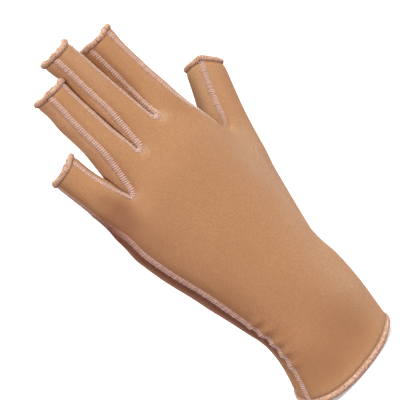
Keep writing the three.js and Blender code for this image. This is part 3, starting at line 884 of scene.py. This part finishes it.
class Finish:
    """A material under construction: short ways to add and join its nodes."""

    def __init__(self, name):
        self.material = bpy.data.materials.new(name)
        self.material.use_nodes = True
        self.tree = self.material.node_tree
        self.tree.nodes.clear()
        self.shader = self.add("ShaderNodeBsdfPrincipled")
        output = self.add("ShaderNodeOutputMaterial")
        self.join(self.shader.outputs["BSDF"], output.inputs["Surface"])

    def add(self, kind, **settings):
        node = self.tree.nodes.new(kind)
        for name, value in settings.items():
            setattr(node, name, value)
        return node

    def join(self, output, socket):
        self.tree.links.new(output, socket)

    def put(self, value, socket):
        if isinstance(value, bpy.types.NodeSocket):
            self.join(value, socket)
        else:
            socket.default_value = value

    def space(self):
        return self.add("ShaderNodeTexCoord").outputs["Object"]

    def attribute(self, name):
        return self.add("ShaderNodeAttribute", attribute_name=name).outputs["Fac"]

    def math(self, operation, *values):
        node = self.add("ShaderNodeMath", operation=operation)
        for value, socket in zip(values, node.inputs):
            self.put(value, socket)
        return node.outputs[0]

    def mix(self, amount, low, high):
        node = self.add("ShaderNodeMix", data_type="RGBA")
        self.put(amount, node.inputs["Factor"])
        for value, socket in ((low, node.inputs["A"]), (high, node.inputs["B"])):
            self.put(value, socket)
        return node.outputs["Result"]

    def noise(self, vector, scale, detail=2.0, roughness=0.5):
        """Soft noise. The scale is about its grains per metre."""
        node = self.add("ShaderNodeTexNoise")
        self.put(vector, node.inputs["Vector"])
        node.inputs["Scale"].default_value = scale
        node.inputs["Detail"].default_value = detail
        node.inputs["Roughness"].default_value = roughness
        return node.outputs["Fac"]

    def spread(self, value, low, high, out_low=0.0, out_high=1.0):
        """A value between low and high, as one between out_low and out_high."""
        node = self.add("ShaderNodeMapRange")
        self.put(value, node.inputs["Value"])
        numbers = {"From Min": low, "From Max": high, "To Min": out_low, "To Max": out_high}
        for name, number in numbers.items():
            node.inputs[name].default_value = number
        return node.outputs["Result"]

    def near(self, place, middle, reach, amount):
        """The amount at the middle, falling to 0 at the reach."""
        node = self.add("ShaderNodeVectorMath", operation="DISTANCE")
        self.put(place, node.inputs[0])
        self.put(middle, node.inputs[1])
        return self.spread(node.outputs["Value"], 0.0, reach, amount, 0.0)

    def bump(self, height, distance, strength):
        node = self.add("ShaderNodeBump")
        node.inputs["Distance"].default_value = distance
        node.inputs["Strength"].default_value = strength
        self.put(height, node.inputs["Height"])
        self.join(node.outputs["Normal"], self.shader.inputs["Normal"])

    def set(self, **values):
        for name, value in values.items():
            self.put(value, self.shader.inputs[name.replace("_", " ")])


def opaque(rgb):
    return (*rgb, 1.0)


def finished(name, fill, *values):
    """The material of a name. fill adds its nodes, the first time that it is asked for."""
    if name not in made:
        finish = Finish(name)
        fill(finish, *values)
        made[name] = finish.material
    return made[name]


RIB_SWAY = 0.8  # how far the ribs wander, in ribs
LOOP_LAG = 0.45  # how far a loop's middle runs ahead of its sides, in loops
LOOP_HEIGHT = 0.22  # height of a loop, in heights of a rib
NAP_HEIGHT = 1.1  # height of the nap, in heights of a rib
RIB_SHADE = 0.34  # how much of the deep colour lies between the ribs
NAP_SHADE = 0.5  # how much of it lies in the nap
NAP_TINT = (1.0, 0.86, 0.74)  # colour of the nap's sheen
BATCH_SHADE = 0.35  # how much of the shaded colour lies in patches along the thread
RIDGE_LOW = 0.72  # how light the ridge is between its loops


def knit_finish(finish, cloth):
    """Stretch knit: leaning ribs of small loops, a soft nap and a little uneven dye."""
    flat = finish.add("ShaderNodeUVMap", uv_map=FLAT_MAP).outputs["UV"]
    turned = finish.add("ShaderNodeMapping", vector_type="POINT")
    finish.join(flat, turned.inputs["Vector"])
    turned.inputs["Rotation"].default_value = (0, 0, -cloth.rib_angle)
    axes = finish.add("ShaderNodeSeparateXYZ")
    finish.join(turned.outputs["Vector"], axes.inputs["Vector"])
    sway = finish.math("MULTIPLY", finish.noise(flat, scale=90, detail=1), RIB_SWAY)
    across = finish.math("MULTIPLY_ADD", axes.outputs["X"], 1 / cloth.rib_pitch, sway)
    rib = finish.math("ABSOLUTE", finish.math("SINE", finish.math("MULTIPLY", across, math.pi)))
    lag = finish.math("MULTIPLY", rib, LOOP_LAG)
    lengthways = finish.math("MULTIPLY_ADD", axes.outputs["Y"], 1 / cloth.loop_pitch, lag)
    loop = finish.math("SINE", finish.math("MULTIPLY", lengthways, 2 * math.pi))
    height = finish.math("MULTIPLY_ADD", finish.math("MULTIPLY", loop, rib), LOOP_HEIGHT, rib)
    space = finish.space()
    dye = finish.noise(space, scale=38, detail=3, roughness=0.55)
    nap = finish.noise(space, scale=1150, roughness=0.7)
    tone = finish.mix(finish.spread(dye, 0.3, 0.7), opaque(cloth.colour), opaque(cloth.pale))
    # painted light, painted shade, and stretch with painted highlight, mixed in from the skin's
    # attributes
    for name, shade in ((PAINTED_LIGHT, cloth.between), (PAINTED_SHADE, cloth.slack), (STRETCH_AND_HIGHLIGHT, cloth.stretch_and_highlight_tone)):
        tone = finish.mix(finish.attribute(name), tone, opaque(shade))
    tone = finish.mix(finish.spread(height, -0.1, 1.1, RIB_SHADE, 0.0), tone, opaque(cloth.deep))
    tone = finish.mix(finish.spread(nap, 0.35, 0.7, 0.0, NAP_SHADE), tone, opaque(cloth.deep))
    rough = finish.spread(nap, 0.2, 0.8, out_low=0.72, out_high=0.9)
    finish.set(Base_Color=tone, Roughness=rough, Specular_IOR_Level=0.2)
    finish.set(Sheen_Weight=0.2, Sheen_Roughness=0.5, Sheen_Tint=opaque(NAP_TINT))
    surface = finish.math("MULTIPLY_ADD", nap, NAP_HEIGHT, height)
    finish.bump(surface, distance=0.16 * MM, strength=0.4)


def seam_shaded(finish, space, tone, seam_shade):
    """A tone with shade painted along the side seam at the little finger's base."""
    amount = finish.near(space, SEAM_SHADE_PLACE, SEAM_SHADE_REACH, SEAM_SHADE_AMOUNT)
    return finish.mix(amount, tone, opaque(seam_shade))


def thread_finish(finish, high, low, seam_shade):
    """Soft bulked thread: fine twist, paler on top, matt."""
    space = finish.space()
    twist = finish.noise(space, scale=2600, roughness=0.6)
    batch = finish.noise(space, scale=120)
    tone = finish.mix(finish.spread(twist, 0.35, 0.65), opaque(low), opaque(high))
    tone = finish.mix(finish.spread(batch, 0.4, 0.75, 0.0, BATCH_SHADE), tone, opaque(low))
    tone = seam_shaded(finish, space, tone, seam_shade)
    rough = finish.spread(twist, 0.2, 0.8, out_low=0.6, out_high=0.85)
    finish.set(Base_Color=tone, Roughness=rough, Specular_IOR_Level=0.3)
    finish.set(Sheen_Weight=0.25, Sheen_Roughness=0.4)
    finish.bump(twist, distance=0.08 * MM, strength=0.5)


def ridge_finish(finish, seam):
    """Folded knit edge under the thread, with its cut loops showing."""
    space = finish.space()
    loops = finish.noise(space, scale=1300, roughness=0.6)
    low = [value * RIDGE_LOW for value in seam.ridge]
    tone = finish.mix(finish.spread(loops, 0.35, 0.65), opaque(low), opaque(seam.ridge))
    tone = seam_shaded(finish, space, tone, seam.seam_shade)
    finish.set(Base_Color=tone, Roughness=0.85, Specular_IOR_Level=0.25, Sheen_Weight=0.25)
    finish.bump(loops, distance=0.15 * MM, strength=0.6)


def hem_finish(finish, hem):
    """Rolled knit edge, pale, with dark specks between its loops."""
    loops = finish.noise(finish.space(), scale=1100, roughness=0.65)
    tone = finish.mix(finish.spread(loops, 0.38, 0.58), opaque(hem.speck), opaque(hem.colour))
    finish.set(Base_Color=tone, Roughness=0.85, Specular_IOR_Level=0.25, Sheen_Weight=0.25)
    finish.bump(loops, distance=0.2 * MM, strength=0.6)


def sweep(bm, ring, frames, closed, shape=None):
    """Draws a ring of edges from frame to frame. shape(step) may scale the ring across and up there."""
    shape = shape or (lambda step: (1.0, 1.0))
    grow = [frames[step] @ Matrix.Diagonal((*shape(step), 1.0, 1.0)) for step in range(len(frames))]
    first = ring
    bmesh.ops.transform(bm, matrix=grow[0], verts=list({v for e in ring for v in e.verts}))
    steps = [*range(1, len(grow)), *([0] if closed else [])]
    before = 0
    for step in steps:
        drawn = bmesh.ops.extrude_edge_only(bm, edges=ring)["geom"]
        verts = [item for item in drawn if isinstance(item, bmesh.types.BMVert)]
        ring = [item for item in drawn if isinstance(item, bmesh.types.BMEdge)]
        bmesh.ops.transform(bm, matrix=grow[step] @ grow[before].inverted(), verts=verts)
        before = step
    if closed:
        bmesh.ops.remove_doubles(bm, verts=bm.verts, dist=MERGE)
    else:
        bmesh.ops.edgeloop_fill(bm, edges=first)
        bmesh.ops.edgeloop_fill(bm, edges=ring)
    bmesh.ops.recalc_face_normals(bm, faces=bm.faces)


def tube(frames, radius, sides, closed=False, shape=None, flat_foot=None):
    """A tube along frames, its ring flattened below flat_foot where that is given."""
    bm = bmesh.new()
    verts = bmesh.ops.create_circle(bm, segments=sides, radius=radius)["verts"]
    if flat_foot is not None:
        for vert in verts:
            vert.co.y = max(vert.co.y, flat_foot)
    sweep(bm, list(bm.edges), frames, closed, shape)
    return bm


def merged(parts):
    """Several meshes under construction in one."""
    whole = bmesh.new()
    for part in parts:
        pour(part, whole)
    return whole


def copies(part, places):
    """A copy of a small mesh at every place, in one mesh."""
    pattern = mesh_of("pattern", part)
    whole = bmesh.new()
    for place in places:
        begin = len(whole.verts)
        whole.from_mesh(pattern)
        whole.verts.ensure_lookup_table()
        bmesh.ops.transform(whole, matrix=place, verts=whole.verts[begin:])
    bpy.data.meshes.remove(pattern)
    return whole


THREAD_SIDES = 5  # corners of a thread's section


def bent_thread(path, radius):
    """A short thread along a few local points (across, up, along)."""
    points = np.array(path, float)
    frames = []
    for place, ahead in zip(points, np.gradient(points, axis=0)):
        z = Vector(ahead).normalized()
        y = z.cross(Vector((0, 0, 1))).normalized()
        frames.append(placed(y.cross(z), y, z, place))
    return tube(frames, radius, THREAD_SIDES)


def shaken(place, rng, turn, size):
    """A place with a small chance turn about its outward axis and a small change of size."""
    twist = Matrix.Rotation(rng.uniform(-turn, turn), 4, "Y")
    grow = Matrix.Scale(1 + rng.uniform(-size, size), 4)
    return place @ twist @ grow


def frames_of(name, step, closed):
    """Even frames along a seam or hem of the worn skin."""
    line = made["lines"][name][0]
    points, normals = even(made["points"][line], made["normals"][line], step, closed)
    return places_along(points, normals, closed)


def pressed(frames):
    """Frames of a seam pressed over towards the back where it faces the little finger."""
    turned = []
    for place in frames:
        across, out = place.col[0].to_3d(), place.col[1].to_3d()
        amount = max(0.0, -out.x)
        lean = SEAM_LEAN * amount * (1 if across.y > 0 else -1)
        moved = place @ Matrix.Rotation(lean, 4, "Z")
        moved.translation += out * SEAM_LIFT * amount
        turned.append(moved)
    return turned


def tapered(frames, step):
    """Frames of the web's seam, smaller where its turn is pinched into the fold."""
    turn = min(range(len(frames)), key=lambda index: frames[index].translation.z)
    grown = []
    for index, place in enumerate(frames):
        reach = WEB_PINCH_REACH * (WEB_PINCH_LONG if index < turn else 1.0)
        pinch = bell((index - turn) * step, reach)
        grown.append(place @ Matrix.Scale(1 - WEB_PINCH * pinch, 4))
    return grown


STITCH_STEPS = 4  # frames along a seam for each stitch
RIDGE_SIDES = 12  # corners of the ridge's section
RIDGE_FOOT = 0.12  # how far below the seam's line its flat foot lies, in heights of the ridge
RIDGE_SQUEEZE = 0.05  # how much the stitches press it in and out
RIDGE_END = 0.55  # how much of its height it has at its ends
RIDGE_END_STEPS = 6  # frames over which it grows from there
BAR_STEPS = 6  # straight pieces of a bent thread bar
BAR_ROUND = 0.6  # power that makes a bar's arch fuller than round
BAR_OUT = 0.3  # how far a bar reaches past the ridge, in radii of the thread
BAR_OVER = 0.1  # how far over the ridge it lies, in radii of the thread
BAR_TURN = 0.16  # most radians that a bar is turned by chance
BAR_CHANGE = 0.14  # most that its size changes by chance
EDGE_SWING = 0.1 * MM  # how far the loops at the ridge's edges swing in and out
EDGE_RISE = 0.1 * MM  # how far over the cloth they lie
EDGE_THREAD = 0.5  # their thickness, as a share of the bars'


def seam_ridge(frames, half, height):
    """A seam's folded cloth, which the stitches press in and out, lower at its ends."""
    last = len(frames) - 1

    def shape(index):
        squeeze = 1 + RIDGE_SQUEEZE * math.cos(2 * math.pi * index / STITCH_STEPS)
        grown = min(1.0, min(index, last - index) / RIDGE_END_STEPS)
        return 1.0, height / half * squeeze * (RIDGE_END + (1 - RIDGE_END) * grown)

    return tube(frames, half, RIDGE_SIDES, shape=shape, flat_foot=-RIDGE_FOOT * half)


def thread_bars(seam, frames, reach, top, rng):
    """The bars of thread over a seam's ridge, one for each stitch."""
    bar = []
    for index in range(BAR_STEPS + 1):
        turn = math.pi * index / BAR_STEPS
        lean = seam.slant * (index / BAR_STEPS - 0.5)
        bar.append((-reach * math.cos(turn), top * math.sin(turn) ** BAR_ROUND, lean))
    stations = frames[STITCH_STEPS // 2::STITCH_STEPS]
    places = [shaken(place, rng, BAR_TURN, BAR_CHANGE) for place in stations]
    return copies(bent_thread(bar, seam.thread), places)


def edge_loops(seam, frames, reach, sign):
    """The loops of thread along one edge of a seam's ridge."""
    route = []
    for index, place in enumerate(frames):
        wave = math.cos(2 * math.pi * index / STITCH_STEPS)
        offset = Vector((sign * (reach + EDGE_SWING * wave), EDGE_RISE, 0))
        route.append(shifted(place, offset))
    return tube(route, EDGE_THREAD * seam.thread, THREAD_SIDES)


def build_seam(context, name):
    """One overlock seam: the folded ridge, and the thread bars and edge loops over it."""
    seam = context.scene.glove_seam
    step = seam.pitch / STITCH_STEPS
    frames = frames_of(name, step, False)
    if name == "seam_web":
        frames = tapered(frames, step)
    elif name.startswith("seam_back_"):
        frames = pressed(frames)
    stout = SIDE_STOUT if name == "seam_side" else 1.0
    half = seam.width / 2 * stout
    height = seam.height * stout
    ridge = seam_ridge(frames, half, height)
    material = finished("seam_ridge_knit", ridge_finish, seam)
    add_piece(context, name + "_ridge", ridge, material, name)

    reach = half + BAR_OUT * seam.thread
    top = height + BAR_OVER * seam.thread
    bars = thread_bars(seam, frames, reach, top, random.Random(name))
    edges = [edge_loops(seam, frames, reach, sign) for sign in (-1, 1)]
    threads = merged([bars, *edges])
    material = finished("overlock_thread", thread_finish, seam.colour, seam.thread_low, seam.seam_shade)
    add_piece(context, name + "_thread", threads, material)


WRAP_STEPS = 3  # frames along a hem for each wrap of thread
ROLL_SIDES = 12  # corners of the roll's section
ROLL_UNEVEN = 0.04  # most that the roll's thickness changes by chance
PEAK_RISE = 0.3  # how far the roll lifts off the cloth at a peak, as a share of the peak
WRAP_BENDS = 8  # points of a wrap round the roll
WRAP_FROM = math.radians(128)  # where on the roll a wrap begins
WRAP_TURN = math.radians(32)  # from one of its points to the next
WRAP_LEAN = 0.5 * MM  # how far a wrap leans along the hem
WRAP_OUT = 0.2  # how far off the roll it lies, in radii of the thread
WRAP_SHAKE = 0.12  # most radians that a wrap is turned by chance
WRAP_CHANGE = 0.05  # most that its size changes by chance
FOOT_IN = 0.1 * MM  # how far in from the cloth's edge a wrap enters it
FOOT_RISE = 0.05 * MM  # how far over the cloth that is
NEEDLE_SWING = 0.12 * MM  # how far the needle loops swing in and out
NEEDLE_RISE = 0.02 * MM  # how far over the wraps' feet they lie
NEEDLE_THREAD = 0.75  # their thickness, as a share of the wraps'


def hem_frames(context, name, step):
    """Frames down the middle of a hem's roll, and how much it thickens at each."""
    hem = context.scene.glove_hem
    frames = frames_of(name, step, True)
    middle = sum(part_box(name), Vector()) / 2
    beyond = middle - Vector(made["points"].mean(0))
    sign = 1 if sum(place.col[0].to_3d().dot(beyond) for place in frames) > 0 else -1
    ends = []
    for seam in SEAMS:
        line = made["lines"][seam][0]
        ends += [Vector(made["points"][line[0]]), Vector(made["points"][line[-1]])]
    rolled, lumps = [], []
    for place in frames:
        near = min((end - place.translation).length for end in ends)
        lump = bell(near, hem.lump_reach)
        out = hem.off_edge + hem.peak * lump
        rise = hem.raised + PEAK_RISE * hem.peak * lump
        rolled.append(shifted(place, Vector((sign * out, rise, 0))))
        lumps.append(1 + hem.lump * lump)
    return rolled, lumps, sign


def hem_roll(hem, frames, lumps, rng):
    """A hem's roll of cloth, pressed wider than tall and a little uneven."""
    uneven = [1 + rng.uniform(-ROLL_UNEVEN, ROLL_UNEVEN) for _ in frames]

    def shape(index):
        size = lumps[index] * uneven[index]
        return hem.wide * size, hem.tall * size

    return tube(frames, hem.radius, ROLL_SIDES, closed=True, shape=shape)


def thread_wraps(hem, frames, lumps, sign, foot, rng):
    """The thread wrapped over a hem's roll, from its foot in the cloth."""
    reach = hem.radius + WRAP_OUT * hem.thread
    wrap = [tuple(foot)]
    for index in range(WRAP_BENDS):
        turn = WRAP_FROM - WRAP_TURN * index
        lean = WRAP_LEAN * index / (WRAP_BENDS - 1)
        wrap.append((sign * reach * math.cos(turn), reach * math.sin(turn), lean))
    places = []
    for index in range(0, len(frames) - WRAP_STEPS // 2, WRAP_STEPS):
        size = lumps[index]
        grown = frames[index] @ Matrix.Diagonal((hem.wide * size, hem.tall * size, 1, 1))
        places.append(shaken(grown, rng, WRAP_SHAKE, WRAP_CHANGE))
    return copies(bent_thread(wrap, hem.thread), places)


def needle_loops(hem, frames, sign, foot):
    """The line of loops along the feet of the wraps."""
    route = []
    for index, place in enumerate(frames):
        wave = math.cos(2 * math.pi * index / WRAP_STEPS)
        route.append(shifted(place, foot + Vector((sign * NEEDLE_SWING * wave, NEEDLE_RISE, 0))))
    return tube(route, NEEDLE_THREAD * hem.thread, THREAD_SIDES, closed=True)


def build_hem(context, name):
    """One rolled hem: the roll, the thread wrapped over it and its line of needle loops."""
    hem = context.scene.glove_hem
    rng = random.Random(name)
    frames, lumps, sign = hem_frames(context, name, hem.pitch / WRAP_STEPS)
    roll = hem_roll(hem, frames, lumps, rng)
    material = finished("hem_roll_knit", hem_finish, hem)
    add_piece(context, name + "_roll", roll, material, name)

    foot = Vector((-sign * (hem.off_edge + FOOT_IN), FOOT_RISE - hem.raised, 0))
    wraps = thread_wraps(hem, frames, lumps, sign, foot, rng)
    threads = merged([wraps, needle_loops(hem, frames, sign, foot)])
    material = finished("hem_thread", thread_finish, hem.wrap, hem.wrap_low, hem.wrap_low)
    add_piece(context, name + "_thread", threads, material)


def trim_edges(bm, cloth):
    """Draws a panel's cut edges back from its seams, and on under its hems."""
    layer = bm.edges.layers.int[ROUTE_LAYER]
    hems = {1 + ROUTES.index(name) for name in HEMS}
    moves = {}
    for edge in bm.edges:
        if not edge.is_boundary:
            continue
        for vert in edge.verts:
            inwards = sum((face.calc_center_median() - vert.co for face in vert.link_faces), Vector())
            step = -cloth.hem_lap if edge[layer] in hems else cloth.edge_gap
            moves.setdefault(vert, []).append(inwards.normalized() * step)
    for vert, steps in moves.items():
        vert.co += sum(steps, Vector()) / len(steps)


def build_panel(context, node):
    """One cloth panel cut from the worn skin, with its wall."""
    cloth = context.scene.glove_cloth
    number = PANELS.index(node)
    bm = bmesh.new()
    bm.from_mesh(worn_skin(context))
    others = [face for face in bm.faces if face.material_index != number]
    bmesh.ops.delete(bm, geom=others, context="FACES")
    layer = bm.edges.layers.int[ROUTE_LAYER]
    sewn = [edge for edge in bm.edges if edge[layer] and not edge.is_boundary]
    bmesh.ops.split_edges(bm, edges=sewn)
    trim_edges(bm, cloth)
    for face in bm.faces:
        face.material_index = 0
    material = finished("knit", knit_finish, cloth)
    piece = add_piece(context, node + "_knit", bm, material, node)
    wall = piece.modifiers.new("wall", "SOLIDIFY")
    wall.thickness = cloth.wall
    wall.offset = -1
    return piece


def declare_sheet(piece):
    """Reads the corners of a panel's flat pattern, and does nothing more with them."""
    mesh = piece.data
    corners = vectors_of(mesh.uv_layers[FLAT_MAP].uv, "vector", 2).astype(np.float32)


FLOOR_HALF = 14  # metres from the floor's middle to its edges
FLOOR_STEPS = 8  # squares along each of its edges
FLOOR_DROP = 0.6 * MM  # how far under the frame it lies
AMBIENT_COLOUR = (1.0, 0.4, 0.46)
AMBIENT_FROM = (0.36, -0.84, 0.4)  # where the light all round is strongest
AMBIENT_RANGE = (0.3, 1.7)  # its least and most strength, in mean strengths
LAMPS = {  # where each soft light comes from, and how many degrees wide it looks
    "key": ((0.5, -0.7, 0.5), 45),
    "fill": ((-0.5, -0.76, 0.42), 60),
    "side": ((-0.75, -0.2, 0.63), 50),
    "top": ((0.1, 0.1, 1.0), 80),
    "back": ((0.62, 0.74, 0.3), 60),
}
TINTED = ("fill", "side")  # the lamps that have the fill's tint
WHITE = (1.0, 1.0, 1.0)


class GLOVE_OT_stage(Operator):
    """Sets the floor, the lights and the camera"""

    bl_idname = "glove.stage"
    bl_label = "Stage"

    def execute(self, context):
        stage = context.scene.glove_stage
        self.floor(context, stage)
        self.ambient(context, stage)
        for name in LAMPS:
            self.lamp(context, stage, name)
        self.camera(context, stage)
        context.scene.view_settings.view_transform = "Standard"
        return {"FINISHED"}

    @staticmethod
    def floor(context, stage):
        grid = bmesh.new()
        bmesh.ops.create_grid(grid, x_segments=FLOOR_STEPS, y_segments=FLOOR_STEPS, size=FLOOR_HALF)
        bmesh.ops.translate(grid, vec=(0, 0, CAD_BOX[0].z - FLOOR_DROP), verts=grid.verts)
        floor = bpy.data.objects.new("floor", mesh_of("floor", grid))
        context.scene.collection.objects.link(floor)
        finish = Finish("floor_paper")
        finish.set(Base_Color=opaque(stage.floor), Roughness=0.9, Specular_IOR_Level=0.1)
        finish.set(Emission_Color=opaque(stage.floor), Emission_Strength=stage.glow)
        floor.data.materials.append(finish.material)
        floor.visible_diffuse = False  # the paper lights nothing from below

    @staticmethod
    def ambient(context, stage):
        world = bpy.data.worlds.new("studio")
        world.use_nodes = True
        nodes, links = world.node_tree.nodes, world.node_tree.links
        background = nodes["Background"]
        background.inputs["Color"].default_value = opaque(AMBIENT_COLOUR)
        facing = nodes.new("ShaderNodeVectorMath")
        facing.operation = "DOT_PRODUCT"
        facing.inputs[1].default_value = AMBIENT_FROM
        links.new(nodes.new("ShaderNodeTexCoord").outputs["Generated"], facing.inputs[0])
        strength = nodes.new("ShaderNodeMapRange")
        strength.inputs["From Min"].default_value = -1
        least, most = AMBIENT_RANGE
        strength.inputs["To Min"].default_value = least * stage.ambient
        strength.inputs["To Max"].default_value = most * stage.ambient
        links.new(facing.outputs["Value"], strength.inputs["Value"])
        links.new(strength.outputs["Result"], background.inputs["Strength"])
        context.scene.world = world

    @staticmethod
    def lamp(context, stage, name):
        offset, width = LAMPS[name]
        lamp = bpy.data.lights.new(name, "SUN")
        lamp.angle = math.radians(width)
        lamp.energy = getattr(stage, name)
        lamp.color = stage.fill_tint if name in TINTED else WHITE
        holder = bpy.data.objects.new(name, lamp)
        holder.location = Vector(stage.target) + Vector(offset)
        holder.rotation_mode = "QUATERNION"
        holder.rotation_quaternion = Vector(offset).to_track_quat("Z", "Y")
        context.scene.collection.objects.link(holder)

    @staticmethod
    def camera(context, stage):
        a, e, roll = stage.azimuth, stage.elevation, stage.roll
        back = Vector((math.sin(a) * math.cos(e), -math.cos(a) * math.cos(e), math.sin(e)))
        right = Vector((math.cos(a), math.sin(a), 0))
        up = back.cross(right)
        across = right * math.cos(roll) - up * math.sin(roll)
        above = up * math.cos(roll) + right * math.sin(roll)
        lens = bpy.data.cameras.new("camera")
        lens.sensor_width = 36
        lens.angle = stage.view
        camera = bpy.data.objects.new("camera", lens)
        place = Vector(stage.target) + back * stage.distance
        camera.matrix_world = placed(across, above, back, place)
        context.scene.collection.objects.link(camera)
        context.scene.camera = camera


class GLOVE_OT_seams(Operator):
    """Sews the raised overlock seams"""

    bl_idname = "glove.seams"
    bl_label = "Seams"

    def execute(self, context):
        worn_skin(context)
        for name in SEAMS:
            build_seam(context, name)
        return {"FINISHED"}


class GLOVE_OT_hems(Operator):
    """Rolls and wraps the hems of the openings"""

    bl_idname = "glove.hems"
    bl_label = "Hems"

    def execute(self, context):
        worn_skin(context)
        for name in HEMS:
            build_hem(context, name)
        return {"FINISHED"}


class GLOVE_OT_gussets(Operator):
    """Cuts the strips between the fingers"""

    bl_idname = "glove.gussets"
    bl_label = "Finger gussets"

    def execute(self, context):
        for node in GUSSETS:
            declare_sheet(build_panel(context, node))
        return {"FINISHED"}


class GLOVE_OT_hand_panel(Operator):
    """Cuts the panel of the back, palm and thumb"""

    bl_idname = "glove.hand_panel"
    bl_label = "Hand panel"

    def execute(self, context):
        panel = build_panel(context, HAND)
        declare_sheet(panel)
        return {"FINISHED"}


class GLOVE_PT_builder(Panel):
    """Lists the glove's pieces"""

    bl_idname = "GLOVE_PT_builder"
    bl_label = "Compression glove"
    bl_space_type = "VIEW_3D"
    bl_region_type = "UI"
    bl_category = "Glove"

    def draw(self, context):
        for operator in OPERATORS:
            self.layout.operator(operator.bl_idname)


OPERATORS = (
    GLOVE_OT_stage,
    GLOVE_OT_seams,
    GLOVE_OT_hems,
    GLOVE_OT_gussets,
    GLOVE_OT_hand_panel,
)
SETTINGS = {
    "glove_cloth": GloveCloth,
    "glove_seam": GloveSeam,
    "glove_hem": GloveHem,
    "glove_stage": GloveStage,
}


def register():
    for kind in (*SETTINGS.values(), *OPERATORS, GLOVE_PT_builder):
        bpy.utils.register_class(kind)
    for name, kind in SETTINGS.items():
        setattr(bpy.types.Scene, name, PointerProperty(type=kind))


def unregister():
    for name in SETTINGS:
        delattr(bpy.types.Scene, name)
    for kind in reversed((*SETTINGS.values(), *OPERATORS, GLOVE_PT_builder)):
        bpy.utils.unregister_class(kind)


def main():
    register()
    bpy.ops.glove.stage()
    bpy.ops.glove.seams()
    bpy.ops.glove.hems()
    bpy.ops.glove.gussets()
    bpy.ops.glove.hand_panel()
    bpy.data.meshes.remove(made.pop("skin"))


if __name__ == "__main__":
    main()
